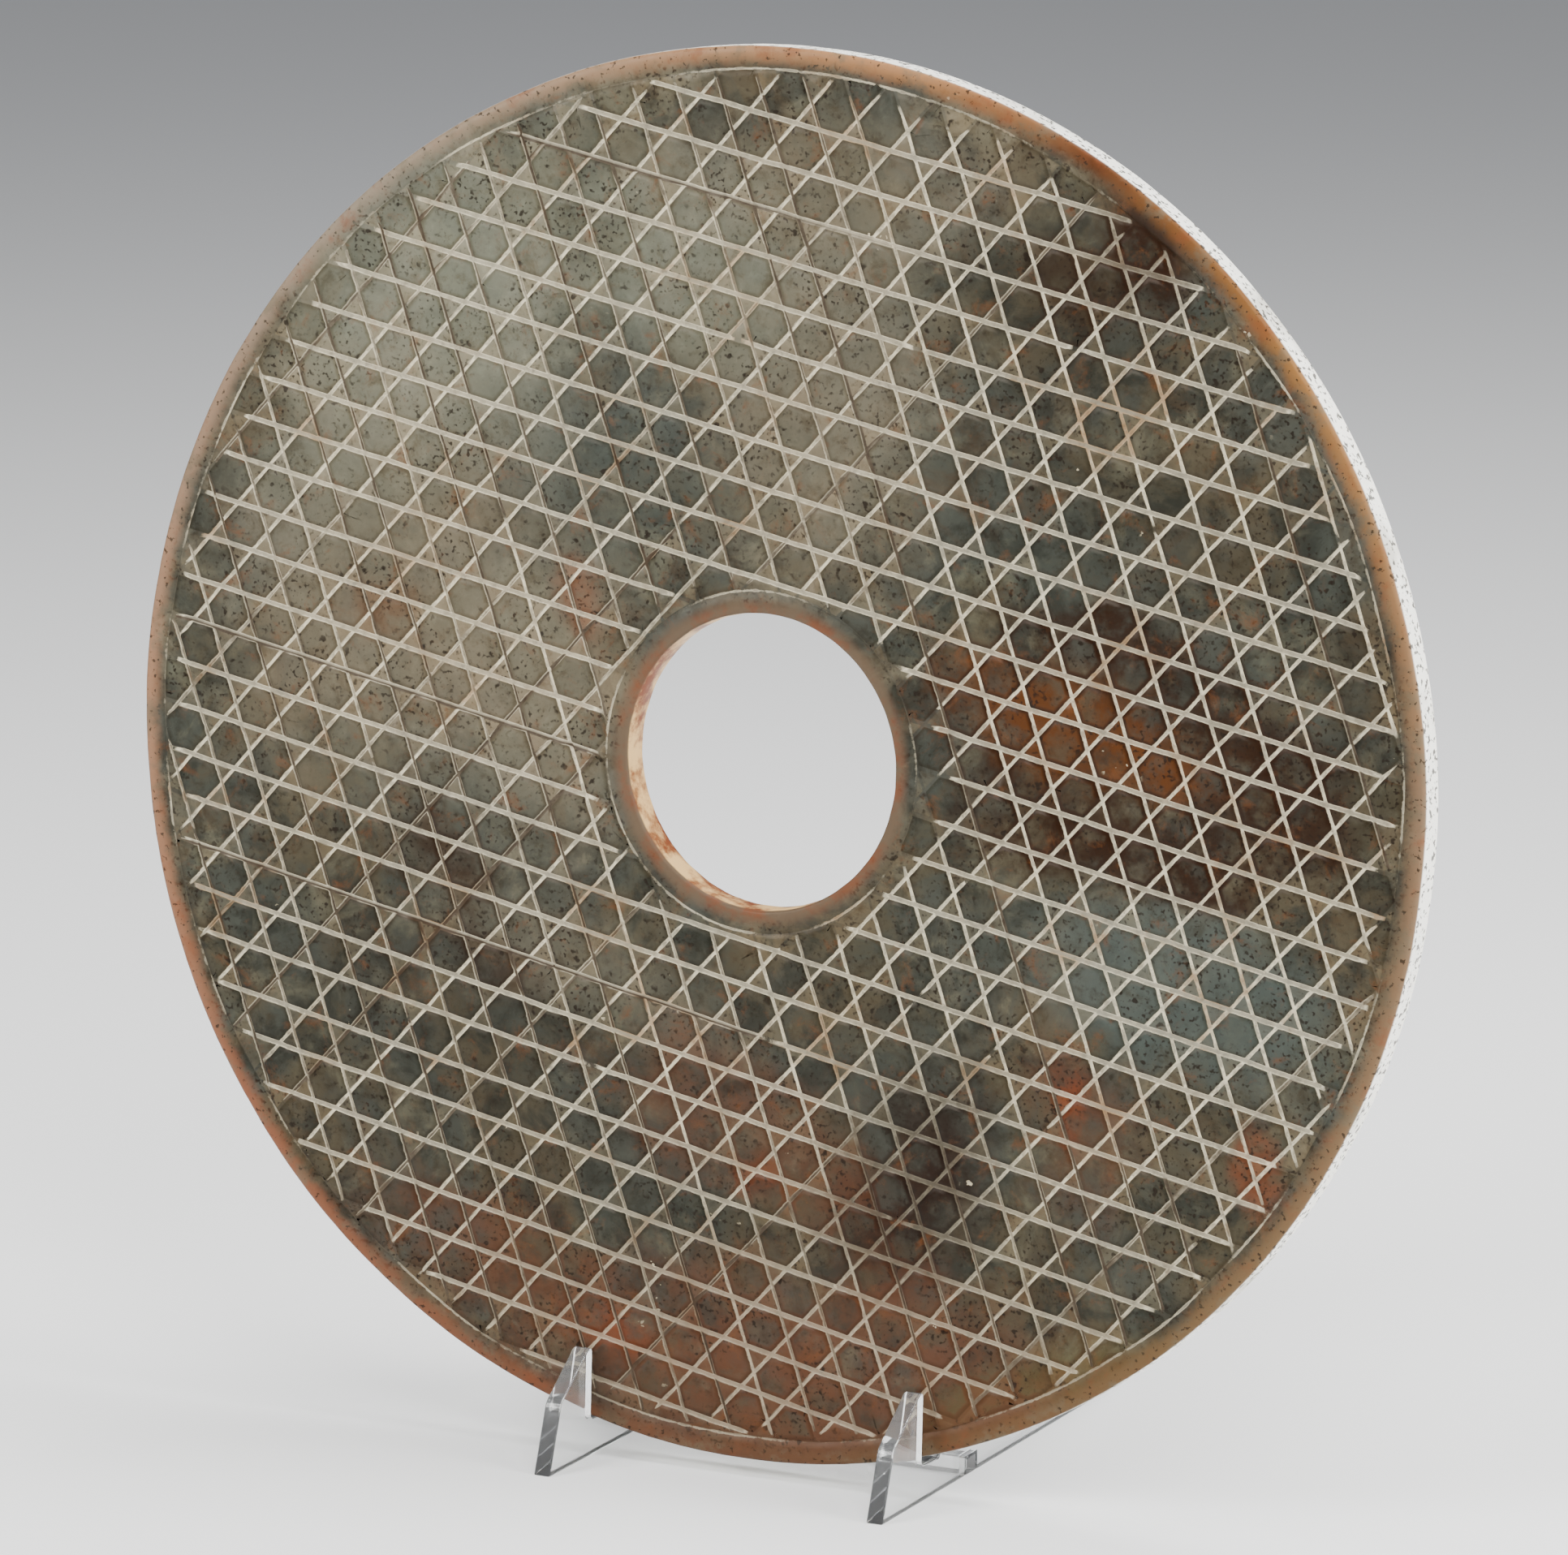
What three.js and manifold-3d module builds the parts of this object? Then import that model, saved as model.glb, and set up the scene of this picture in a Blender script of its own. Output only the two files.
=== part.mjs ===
// A round jade disc with a central hole, engraved with three crossing sets of straight grooves,
// leaning in a clear easel of two side plates joined by a cross bar. Millimetres, +Z up, front to -Y.
// The origin is on the floor, under the middle of the whole object's bounding box.
import * as THREE from "three";
import { mergeVertices } from "three/addons/utils/BufferGeometryUtils.js";
import Module from "manifold-3d";

// Jade disc
const DISC_RADIUS = 130.5;
const DISC_THICKNESS = 7.0;
const BORE_RADIUS = 27.4;
const BORE_CHAMFER = 0.5;
const SHOULDER = 0.8;
const DISC_SEGMENTS = 72;
const LEAN_DEG = 2.8;
const FACE_CENTRE_HEIGHT = 133.5;

// Rings and grooves
const BORDER_RING_RADIUS = 126.1;
const BORE_RING_RADIUS = 31.6;
const RING_WIDTH = 0.9;
const GROOVE_DEPTH = 0.7;
const BOSS_CREST_DEPTH = 0.06;

// The three sets of grooves: direction from the disc's right, spacing, and phase in spacings
const RISING = { angleDeg: 48.0, pitch: 8.45, phase: -0.128, seed: 1 };
const FALLING = { angleDeg: 109.6, pitch: 8.37, phase: 0.356, seed: 2 };
const LEVEL_SEED = 3;
const HAND_WANDER = 0.32;
const LINES_EACH_WAY = 16;

// Clear easel
const PLATE_THICKNESS = 3.3;
const PLATE_SPACING = 68.4;
const STAND_OFFSET_X = 0.6;
const FIT_GAP = 0.3;
const FOOT_FRONT = -23.1;
const FOOT_BACK = 80.0;
const NOSE_KINK = { y: -18.3, z: 12.8 };
const NOSE_SHOULDER = { y: -8.7, z: 19.6 };
const PRONG_TOP = 20.6;
const PRONG_TIP_DEPTH = 1.9;
const UPRIGHT_TOP = 95.0;
const UPRIGHT_TOP_DEPTH = 7.0;
const HEEL_HEIGHT = 7.0;
const FILLET = 1.0;
const CURVE_STEPS = 10;

// Cross bar, set in slots in the undersides of the side plates
const BAR_DEPTH = 4.4;
const BAR_HEIGHT = 3.3;
const BAR_FRONT = 12.4;

// The disc's face centre stands at y = 0 in the drawings below; this brings the box to the origin.
const SHIFT_Y = -(FOOT_FRONT + FOOT_BACK) / 2;
const LEAN = THREE.MathUtils.degToRad(LEAN_DEG);

const wasm = await Module();
wasm.setup();

function jadeMaterial() {
  return new THREE.MeshStandardMaterial({ color: 0x6d675a, roughness: 0.38, metalness: 0 });
}

function acrylicMaterial() {
  return new THREE.MeshStandardMaterial({
    color: 0xf2f6f8,
    roughness: 0.05,
    metalness: 0,
    transparent: true,
    opacity: 0.3,
  });
}

// A closed three.js geometry as a solid that can be joined and cut.
function toSolid(geometry) {
  const bare = geometry.clone();
  bare.deleteAttribute("normal");
  bare.deleteAttribute("uv");
  const merged = mergeVertices(bare, 1e-4);
  return new wasm.Manifold(
    new wasm.Mesh({
      numProp: 3,
      vertProperties: new Float32Array(merged.attributes.position.array),
      triVerts: new Uint32Array(merged.index.array),
    }),
  );
}

function toGeometry(solid) {
  const mesh = solid.getMesh();
  const geometry = new THREE.BufferGeometry();
  geometry.setAttribute("position", new THREE.BufferAttribute(mesh.vertProperties, 3));
  geometry.setIndex(new THREE.BufferAttribute(mesh.triVerts, 1));
  const flat = geometry.toNonIndexed();
  flat.computeVertexNormals();
  return flat;
}

// A ring turned about the disc's axis from a closed profile of [radius, height] points.
// The profile runs anticlockwise with the radius to the right and the height up.
function turnedRing(profile) {
  const points = [...profile, profile[0]].map(([r, h]) => new THREE.Vector2(r, h));
  return toSolid(new THREE.LatheGeometry(points, DISC_SEGMENTS).rotateX(Math.PI / 2));
}

// The plain disc: face at height 0, back at -DISC_THICKNESS.
function discBlank() {
  const back = -DISC_THICKNESS;
  const turn = SHOULDER * 0.3;
  return turnedRing([
    [BORE_RADIUS + BORE_CHAMFER, back],
    [DISC_RADIUS - SHOULDER, back],
    [DISC_RADIUS - turn, back + turn],
    [DISC_RADIUS, back + SHOULDER],
    [DISC_RADIUS, -SHOULDER],
    [DISC_RADIUS - turn, -turn],
    [DISC_RADIUS - SHOULDER, 0],
    [BORE_RADIUS + BORE_CHAMFER, 0],
    [BORE_RADIUS, -BORE_CHAMFER],
    [BORE_RADIUS, back + BORE_CHAMFER],
  ]);
}

// The cutter of a V groove round the axis, in the face or, turned over, in the back.
function ringCutter(radius, onBack) {
  const sign = onBack ? -1 : 1;
  const face = onBack ? -DISC_THICKNESS : 0;
  const profile = [
    [radius, face - sign * GROOVE_DEPTH],
    [radius + RING_WIDTH, face + sign * GROOVE_DEPTH],
    [radius - RING_WIDTH, face + sign * GROOVE_DEPTH],
  ];
  return turnedRing(onBack ? profile.reverse() : profile);
}

// A repeatable number from -1 to 1 for one groove: how far the hand strayed.
function stray(seed, index) {
  const x = Math.sin(index * 12.9898 + seed * 78.233) * 43758.5453;
  return 2 * (x - Math.floor(x)) - 1;
}

// The unit normal of a set of grooves.
function normalOf(set) {
  const t = THREE.MathUtils.degToRad(set.angleDeg);
  return new THREE.Vector2(-Math.sin(t), Math.cos(t));
}

// The third set closes the pattern: its lines pass half a step off the crossings of the other two.
function closingSet(a, b, seed) {
  const k = normalOf(b).divideScalar(b.pitch).sub(normalOf(a).divideScalar(a.pitch));
  const angleDeg = THREE.MathUtils.radToDeg(Math.atan2(-k.x, k.y));
  return { angleDeg, pitch: 1 / k.length(), phase: b.phase - a.phase + 0.5, seed };
}

// One groove's centre line: its unit normal and its distance from the disc's axis.
function grooveLine(set, index) {
  const distance = set.pitch * (index + set.phase) + HAND_WANDER * stray(set.seed, index);
  return { normal: normalOf(set), distance };
}

function crossing(p, q) {
  const det = p.normal.x * q.normal.y - p.normal.y * q.normal.x;
  return new THREE.Vector2(
    (p.distance * q.normal.y - q.distance * p.normal.y) / det,
    (q.distance * p.normal.x - p.distance * q.normal.x) / det,
  );
}

// The corners of one cell of the pattern: a six-sided boss and the two small triangles beside it.
function cellPolygons(rising, falling, level, i, j) {
  const p = (a, b) => crossing(rising(a), falling(b));
  const onRising = (a, b) => crossing(rising(a), level(b - a));
  const onFalling = (a, b) => crossing(falling(b), level(b - a - 1));
  const boss = [
    p(i, j),
    onFalling(i, j),
    onRising(i + 1, j),
    p(i + 1, j + 1),
    onFalling(i, j + 1),
    onRising(i, j),
  ];
  return {
    boss,
    triangles: [
      [onRising(i, j), onFalling(i, j + 1), p(i, j + 1)],
      [onFalling(i, j), p(i + 1, j), onRising(i + 1, j)],
    ],
  };
}

// The six facets that rise from a boss's edges, at groove depth, to its crest.
function bossFacets(boss) {
  const middle = boss.reduce((sum, c) => sum.add(c), new THREE.Vector2()).divideScalar(boss.length);
  return boss.map((corner, n) => {
    const next = boss[(n + 1) % boss.length];
    return [
      [corner.x, corner.y, -GROOVE_DEPTH],
      [next.x, next.y, -GROOVE_DEPTH],
      [middle.x, middle.y, -BOSS_CREST_DEPTH],
    ];
  });
}

// A small triangle between three bosses lies flat, at groove depth.
function groundFacet(triangle) {
  return triangle.map((corner) => [corner.x, corner.y, -GROOVE_DEPTH]);
}

// Every facet of the engraved field, as a sheet that faces up.
function engravedSheet() {
  const level = closingSet(RISING, FALLING, LEVEL_SEED);
  const lines = [RISING, FALLING, level].map((set) => (index) => grooveLine(set, index));
  const facets = [];
  for (let i = -LINES_EACH_WAY; i < LINES_EACH_WAY; i++) {
    for (let j = -LINES_EACH_WAY; j < LINES_EACH_WAY; j++) {
      const cell = cellPolygons(...lines, i, j);
      facets.push(...bossFacets(cell.boss), ...cell.triangles.map(groundFacet));
    }
  }
  return facets;
}

// The space above the sheet: the sheet turned over, a lid above it and walls round its edge.
function spaceAbove(facets, lidHeight) {
  const key = (v) => v[0].toFixed(3) + "," + v[1].toFixed(3);
  const lifted = (v) => [v[0], v[1], lidHeight];
  const edges = new Map();
  const triangles = [];
  for (const [a, b, c] of facets) {
    triangles.push([c, b, a], [lifted(a), lifted(b), lifted(c)]);
    for (const [s, e] of [[a, b], [b, c], [c, a]]) {
      edges.set(key(s) + ";" + key(e), [s, e]);
    }
  }
  for (const [s, e] of edges.values()) {
    if (!edges.has(key(e) + ";" + key(s))) {
      triangles.push([s, e, lifted(e)], [s, lifted(e), lifted(s)]);
    }
  }
  const geometry = new THREE.BufferGeometry();
  geometry.setAttribute("position", new THREE.Float32BufferAttribute(triangles.flat(2), 3));
  return toSolid(geometry);
}

// The engraved field between the two rings.
function fieldCutter() {
  const band = turnedRing([
    [BORE_RING_RADIUS, -2 * GROOVE_DEPTH],
    [BORDER_RING_RADIUS, -2 * GROOVE_DEPTH],
    [BORDER_RING_RADIUS, 1],
    [BORE_RING_RADIUS, 1],
  ]);
  return spaceAbove(engravedSheet(), 2).intersect(band);
}

function jadeDisc() {
  const solid = discBlank()
    .subtract(fieldCutter())
    .subtract(ringCutter(BORDER_RING_RADIUS, false))
    .subtract(ringCutter(BORE_RING_RADIUS, false))
    .subtract(ringCutter(BORDER_RING_RADIUS, true))
    .subtract(ringCutter(BORE_RING_RADIUS, true));
  const mesh = new THREE.Mesh(toGeometry(solid), jadeMaterial());
  mesh.name = "jade_disc";
  mesh.rotation.x = Math.PI / 2 - LEAN;
  mesh.position.set(0, 0, FACE_CENTRE_HEIGHT);
  return mesh;
}

// A point of the side view, given up the disc's slope from its centre and out in front of its face.
function leaningPoint(along, out) {
  const y = along * Math.sin(LEAN) - out * Math.cos(LEAN);
  const z = FACE_CENTRE_HEIGHT + along * Math.cos(LEAN) + out * Math.sin(LEAN);
  return new THREE.Vector2(y, z);
}

// How far up the slope from the disc's centre the side view reaches a height, on a line parallel
// to the face.
function alongAtHeight(z, out) {
  return (z - FACE_CENTRE_HEIGHT - out * Math.sin(LEAN)) / Math.cos(LEAN);
}

// The side plate's outline: foot, nose and prong in front, notch for the rim, upright and heel.
function sidePlateShape() {
  const rimAside = PLATE_SPACING / 2 - PLATE_THICKNESS / 2 - STAND_OFFSET_X;
  const seat = -Math.sqrt(DISC_RADIUS ** 2 - rimAside ** 2) - FIT_GAP;
  const behind = -DISC_THICKNESS - FIT_GAP;
  const slotLeft = BAR_FRONT - FIT_GAP;
  const slotRight = BAR_FRONT + BAR_DEPTH + FIT_GAP;
  const slotTop = BAR_HEIGHT + FIT_GAP;
  const upright = leaningPoint(alongAtHeight(UPRIGHT_TOP, behind), behind);
  const prong = leaningPoint(alongAtHeight(PRONG_TOP, FIT_GAP), FIT_GAP);
  const shape = new THREE.Shape();
  const to = (p) => shape.lineTo(p.x, p.y);
  const round = (corner, end) => shape.quadraticCurveTo(corner.x, corner.y, end.x, end.y);

  shape.moveTo(FOOT_FRONT, 0);
  shape.lineTo(slotLeft, 0);
  shape.lineTo(slotLeft, slotTop);
  shape.lineTo(slotRight, slotTop);
  shape.lineTo(slotRight, 0);
  shape.lineTo(FOOT_BACK - FILLET, 0);
  shape.quadraticCurveTo(FOOT_BACK, 0, FOOT_BACK, FILLET);
  shape.lineTo(FOOT_BACK, HEEL_HEIGHT - 2);
  shape.quadraticCurveTo(FOOT_BACK, HEEL_HEIGHT, FOOT_BACK - 4, HEEL_HEIGHT + 1);
  shape.bezierCurveTo(48, 17, 24, 48, upright.x + UPRIGHT_TOP_DEPTH, UPRIGHT_TOP - 3);
  shape.quadraticCurveTo(
    upright.x + UPRIGHT_TOP_DEPTH - 1, UPRIGHT_TOP, upright.x + UPRIGHT_TOP_DEPTH / 2, UPRIGHT_TOP,
  );
  round(upright, leaningPoint(alongAtHeight(UPRIGHT_TOP - 3, behind), behind));
  to(leaningPoint(seat + FILLET, behind));
  round(leaningPoint(seat, behind), leaningPoint(seat, behind + FILLET));
  to(leaningPoint(seat, FIT_GAP - FILLET));
  round(leaningPoint(seat, FIT_GAP), leaningPoint(seat + FILLET, FIT_GAP));
  to(leaningPoint(alongAtHeight(PRONG_TOP - FILLET, FIT_GAP), FIT_GAP));
  round(prong, new THREE.Vector2(prong.x - FILLET, PRONG_TOP));
  shape.quadraticCurveTo(prong.x - PRONG_TIP_DEPTH, PRONG_TOP, NOSE_SHOULDER.y, NOSE_SHOULDER.z);
  shape.lineTo(NOSE_KINK.y + FILLET, NOSE_KINK.z + FILLET * 0.7);
  shape.quadraticCurveTo(NOSE_KINK.y, NOSE_KINK.z, NOSE_KINK.y - FILLET * 0.35, NOSE_KINK.z - FILLET);
  shape.closePath();
  return shape;
}

// One side plate, its middle plane at x.
function sidePlate(name, x) {
  const geometry = new THREE.ExtrudeGeometry(sidePlateShape(), {
    depth: PLATE_THICKNESS,
    bevelEnabled: false,
    curveSegments: CURVE_STEPS,
  });
  geometry.translate(0, 0, -PLATE_THICKNESS / 2);
  geometry.applyMatrix4(
    new THREE.Matrix4().makeBasis(
      new THREE.Vector3(0, 1, 0),
      new THREE.Vector3(0, 0, 1),
      new THREE.Vector3(1, 0, 0),
    ),
  );
  const mesh = new THREE.Mesh(geometry, acrylicMaterial());
  mesh.name = name;
  mesh.position.x = x;
  return mesh;
}

function crossBar() {
  const length = PLATE_SPACING + PLATE_THICKNESS;
  const mesh = new THREE.Mesh(new THREE.BoxGeometry(length, BAR_DEPTH, BAR_HEIGHT), acrylicMaterial());
  mesh.name = "easel_cross_bar";
  mesh.position.set(0, BAR_FRONT + BAR_DEPTH / 2, BAR_HEIGHT / 2);
  return mesh;
}

function easel() {
  const group = new THREE.Group();
  group.add(sidePlate("easel_left_side", -PLATE_SPACING / 2));
  group.add(sidePlate("easel_right_side", PLATE_SPACING / 2));
  group.add(crossBar());
  group.position.x = STAND_OFFSET_X;
  return group;
}

const part = new THREE.Group();
part.add(jadeDisc());
part.add(easel());
part.position.y = SHIFT_Y;

export default part;
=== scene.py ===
"""Engraved jade disc leaning in a clear easel: its shapes, its finishes and its studio."""

import logging
import math
import random
from dataclasses import dataclass, field
from enum import Enum

import bmesh
import bpy
from mathutils import Matrix, Vector, noise


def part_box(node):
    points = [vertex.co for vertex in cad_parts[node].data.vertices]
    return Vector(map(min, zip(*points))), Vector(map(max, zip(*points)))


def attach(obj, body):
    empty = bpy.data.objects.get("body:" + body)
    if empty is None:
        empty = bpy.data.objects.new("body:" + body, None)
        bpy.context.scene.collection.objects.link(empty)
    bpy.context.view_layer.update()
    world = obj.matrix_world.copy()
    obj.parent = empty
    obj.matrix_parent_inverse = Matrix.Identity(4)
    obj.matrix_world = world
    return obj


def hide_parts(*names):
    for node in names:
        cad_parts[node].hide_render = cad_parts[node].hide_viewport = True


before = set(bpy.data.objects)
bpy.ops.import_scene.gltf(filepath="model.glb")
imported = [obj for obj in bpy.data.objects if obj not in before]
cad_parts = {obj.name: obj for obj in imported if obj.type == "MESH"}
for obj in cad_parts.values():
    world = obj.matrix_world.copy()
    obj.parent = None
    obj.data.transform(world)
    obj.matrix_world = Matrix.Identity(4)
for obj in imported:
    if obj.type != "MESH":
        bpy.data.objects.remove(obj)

LOG = logging.getLogger("jade_disc")
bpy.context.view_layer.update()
BODY = "root"
MM = 0.001
SAME_PLACE = 0.001 * MM
IN_PLANE = 0.0001 * MM

LEAN = math.radians(2.8)
DISC_THICKNESS = 7.0 * MM
DISC_LOW, DISC_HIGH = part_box("jade_disc")
DISC_RADIUS = (DISC_HIGH.x - DISC_LOW.x) / 2
DISC_FRONT = Vector((0.0, -math.cos(LEAN), math.sin(LEAN)))
FACE_CENTRE = (DISC_LOW + DISC_HIGH) / 2 + DISC_FRONT * DISC_THICKNESS / 2
# Takes the disc's own frame (x right, y up the slope, z out of the face) to the part's frame.
DISC_PLACE = Matrix.Translation(FACE_CENTRE) @ Matrix.Rotation(math.pi / 2 - LEAN, 4, "X")

Rgb = tuple[float, float, float]
Socket = bpy.types.NodeSocket
Value = Socket | float | tuple


def rgb(red: int, green: int, blue: int) -> Rgb:
    """Turns a display colour into a linear one.

    Args:
        red: red, from 0 to 255.
        green: green, from 0 to 255.
        blue: blue, from 0 to 255.

    Returns:
        The linear colour.
    """

    def linear(value: int) -> float:
        """The linear value of one display channel."""
        share = value / 255
        return share / 12.92 if share <= 0.04045 else ((share + 0.055) / 1.055) ** 2.4

    return linear(red), linear(green), linear(blue)


def smooth_step(low: float, high: float, value: float) -> float:
    """An eased rise from 0 to 1.

    Args:
        low: where the rise starts.
        high: where it ends.
        value: where it is asked for.

    Returns:
        The height of the rise there.
    """
    share = min(1.0, max(0.0, (value - low) / (high - low)))
    return share * share * (3 - 2 * share)


# ---------------------------------------------------------------- grooves


@dataclass(frozen=True)
class GrooveSet:
    """One set of parallel grooves cut across the face.

    Angles are from the disc's right, lengths in metres, and the phase is in spacings. The shaded
    side is the wall given painted shade and most dirt: 1 for the upper one, -1 for the lower one.
    """

    angle_deg: float
    pitch: float
    phase: float
    seed: int
    width: float
    floor: float
    depth: float
    dirty_share: float
    shaded_share: float
    shaded_side: int
    greyness: float

    @property
    def along(self) -> Vector:
        """Direction of the grooves."""
        turn = math.radians(self.angle_deg)
        return Vector((math.cos(turn), math.sin(turn), 0.0))

    @property
    def across(self) -> Vector:
        """Unit normal of the grooves, in the face."""
        turn = math.radians(self.angle_deg)
        return Vector((-math.sin(turn), math.cos(turn), 0.0))

    def offset(self, index: int) -> float:
        """Distance of the groove of this number from the disc's axis, with the hand's wander."""
        return self.pitch * (index + self.phase) + HAND_WANDER * stray(self.seed, index)


@dataclass(frozen=True)
class Stroke:
    """One cut of the graver: part of a groove, from start to end along it.

    Depth, dirt and shade are shares of the most that a cut has. The shade is painted shade on
    one wall of the groove.
    """

    groove_set: GrooveSet
    offset: float
    start: float
    end: float
    fade_start: float
    fade_end: float
    depth_share: float
    dirt: float
    shade: float

    def dirt_and_wall_shade(self, away: float, shade_reach: float) -> float:
        """Dirt and painted shade at a signed distance from the cut's middle, light on the
        unshaded wall.

        Args:
            away: distance from the cut's middle, towards the set's upper side.
            shade_reach: how strongly painted shade shows in this part of the face, from 0 to 1.

        Returns:
            Dirt and painted shade, from 0 to 1.
        """
        if away * self.groove_set.shaded_side < -UNSHADED_WALL_FROM:
            return UNSHADED_WALL_DIRT * self.dirt
        # Shaded wall and floor: the darker of the stroke's dirt and its painted shade.
        return max(self.dirt, self.shade * shade_reach)

    def reach(self, along: float) -> float:
        """How far the cut has come to its full depth.

        Args:
            along: the place along the cut.

        Returns:
            The share of the full depth, from 0 to 1.
        """
        rise = min(1.0, max(0.0, (along - self.start) / self.fade_start))
        fall = min(1.0, max(0.0, (self.end - along) / self.fade_end))
        return min(rise, fall)


# Openness, dirt with painted shade, greyness of the cut, and lowness of the ground: plain stone.
UNCUT = (0.0, 0.0, 0.0, 0.7)
BOSS_TOP, BOSS_EDGE, GROUND = 0.0, 0.5, 1.0
HAND_WANDER = 0.36 * MM
LINES_EACH_WAY = 16
# Beyond this on its unshaded side a groove wall gets no painted shade and this share of the dirt.
UNSHADED_WALL_FROM = 0.12 * MM
UNSHADED_WALL_DIRT = 0.3
# The least strength of the grooves' painted wall shade anywhere on the face.
LEAST_WALL_SHADE = 0.15


def stray(seed: int, index: int) -> float:
    """A repeatable number for one groove.

    Args:
        seed: the set's seed.
        index: the groove's number in its set.

    Returns:
        A number from -1 to 1.
    """
    value = math.sin(index * 12.9898 + seed * 78.233) * 43758.5453
    return 2 * (value - math.floor(value)) - 1


RISING = GrooveSet(48.0, 8.45 * MM, -0.128, 1, 0.9 * MM, 0.18 * MM, 0.4 * MM, 0.06, 0.2, -1, 0.0)
FALLING = GrooveSet(109.6, 8.37 * MM, 0.356, 2, 0.88 * MM, 0.2 * MM, 0.4 * MM, 0.1, 0.85, -1, 0.0)


def wall_shade_reach_at(spot: Vector) -> float:
    """How strongly the painted shade on the grooves' walls shows at a place on the face: most on
    its left and at its foot.

    Args:
        spot: the place in the disc's frame.

    Returns:
        The painted shade's strength, from 0 to 1.
    """
    leftward = smooth_step(0.4, -0.1, spot.x / DISC_RADIUS)
    footward = smooth_step(-0.35, -0.6, spot.y / DISC_RADIUS)
    return LEAST_WALL_SHADE + (1.0 - LEAST_WALL_SHADE) * max(leftward, footward)


def closing_set(first: GrooveSet, second: GrooveSet) -> GrooveSet:
    """Finds the third set, whose lines pass half a step off the crossings of the other two.

    Args:
        first: the rising set.
        second: the falling set.

    Returns:
        The level set, wider and flatter in section than the others.
    """
    wave = second.across / second.pitch - first.across / first.pitch
    angle = math.degrees(math.atan2(-wave.x, wave.y))
    phase = second.phase - first.phase + 0.5
    pitch = 1 / wave.length
    return GrooveSet(angle, pitch, phase, 3, 1.12 * MM, 0.5 * MM, 0.34 * MM, 0.03, 0.08, 1, 1.0)


LEVEL = closing_set(RISING, FALLING)
GROOVE_SETS = (RISING, FALLING, LEVEL)


# ---------------------------------------------------------------- node sheets


class NodeSheet:
    """Short calls to build one material's node tree."""

    def __init__(self, name: str) -> None:
        """Starts an empty material with its output and a principled shader.

        Args:
            name: the material's name.
        """
        self.material = bpy.data.materials.new(name)
        self.material.use_nodes = True
        self.tree = self.material.node_tree
        self.tree.nodes.clear()
        output = self.node("OutputMaterial")
        self.shader = self.node("BsdfPrincipled")
        self.link(self.shader.outputs["BSDF"], output.inputs["Surface"])

    def link(self, source: Socket, target: Socket) -> None:
        """Joins an output to an input."""
        self.tree.links.new(source, target)

    def put(self, target: Socket, value: Value) -> None:
        """Links a socket to an input, or sets a plain value on it.

        Args:
            target: the input.
            value: a socket, a number or a tuple.
        """
        if isinstance(value, Socket):
            self.link(value, target)
        else:
            target.default_value = value

    def set_shader(self, values: dict[str, Value]) -> None:
        """Puts values on the shader's inputs.

        Args:
            values: sockets or plain values by the input's name.
        """
        for name, value in values.items():
            self.put(self.shader.inputs[name], value)

    def node(self, kind: str, *values: Value, **settings: object) -> bpy.types.Node:
        """Adds a node.

        Args:
            kind: its type, without the word ShaderNode.
            values: sockets or plain values for its first inputs, in order.
            settings: the node's own settings.

        Returns:
            The new node.
        """
        node = self.tree.nodes.new(f"ShaderNode{kind}")
        for name, setting in settings.items():
            setattr(node, name, setting)
        for socket, value in zip(node.inputs, values):
            self.put(socket, value)
        return node

    def math(self, operation: str, *values: Value, clamp: bool = False) -> Socket:
        """A Math node over sockets or numbers."""
        return self.node("Math", *values, operation=operation, use_clamp=clamp).outputs["Value"]

    def vector(self, operation: str, *values: Value, output: str = "Vector") -> Socket:
        """A Vector Math node over sockets or triples."""
        return self.node("VectorMath", *values, operation=operation).outputs[output]

    def noise(
        self,
        vector: Socket,
        scale: float,
        detail: float,
        roughness: float,
        distortion: float = 0.0,
    ) -> Socket:
        """A Noise texture over coordinates.

        Args:
            vector: the coordinates.
            scale: features in a metre.
            detail: finer layers.
            roughness: strength of each finer layer.
            distortion: how far the coordinates are bent.

        Returns:
            The noise, about 0.5 in the middle.
        """
        node = self.node("TexNoise", vector)
        node.inputs["Scale"].default_value = scale
        node.inputs["Detail"].default_value = detail
        node.inputs["Roughness"].default_value = roughness
        node.inputs["Distortion"].default_value = distortion
        return node.outputs["Fac"]

    def ramp(
        self, value: Socket, low: float, high: float, start: float = 0.0, end: float = 1.0
    ) -> Socket:
        """Remaps a value from low..high to start..end, eased and clamped.

        Args:
            value: the value.
            low: the value that gives start.
            high: the value that gives end.
            start: the result at low.
            end: the result at high.

        Returns:
            The remapped value.
        """
        node = self.node(
            "MapRange", value, low, high, start, end, interpolation_type="SMOOTHSTEP"
        )
        return node.outputs["Result"]

    def mix(self, factor: Value, first: Value, second: Value, blend: str = "MIX") -> Socket:
        """Mixes two colours.

        Args:
            factor: share of the second colour.
            first: the colour below.
            second: the colour above.
            blend: how they are blended.

        Returns:
            The mixed colour.
        """
        node = self.node("Mix", factor, data_type="RGBA", blend_type=blend)
        for socket, value in ((node.inputs[6], first), (node.inputs[7], second)):
            self.put(socket, value if isinstance(value, Socket) else (*value, 1.0))
        return node.outputs[2]

    def tinted(self, colour: Value, tint: Rgb) -> Socket:
        """A colour multiplied by a tint."""
        return self.mix(1.0, colour, tint, "MULTIPLY")


# ---------------------------------------------------------------- finishes


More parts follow.
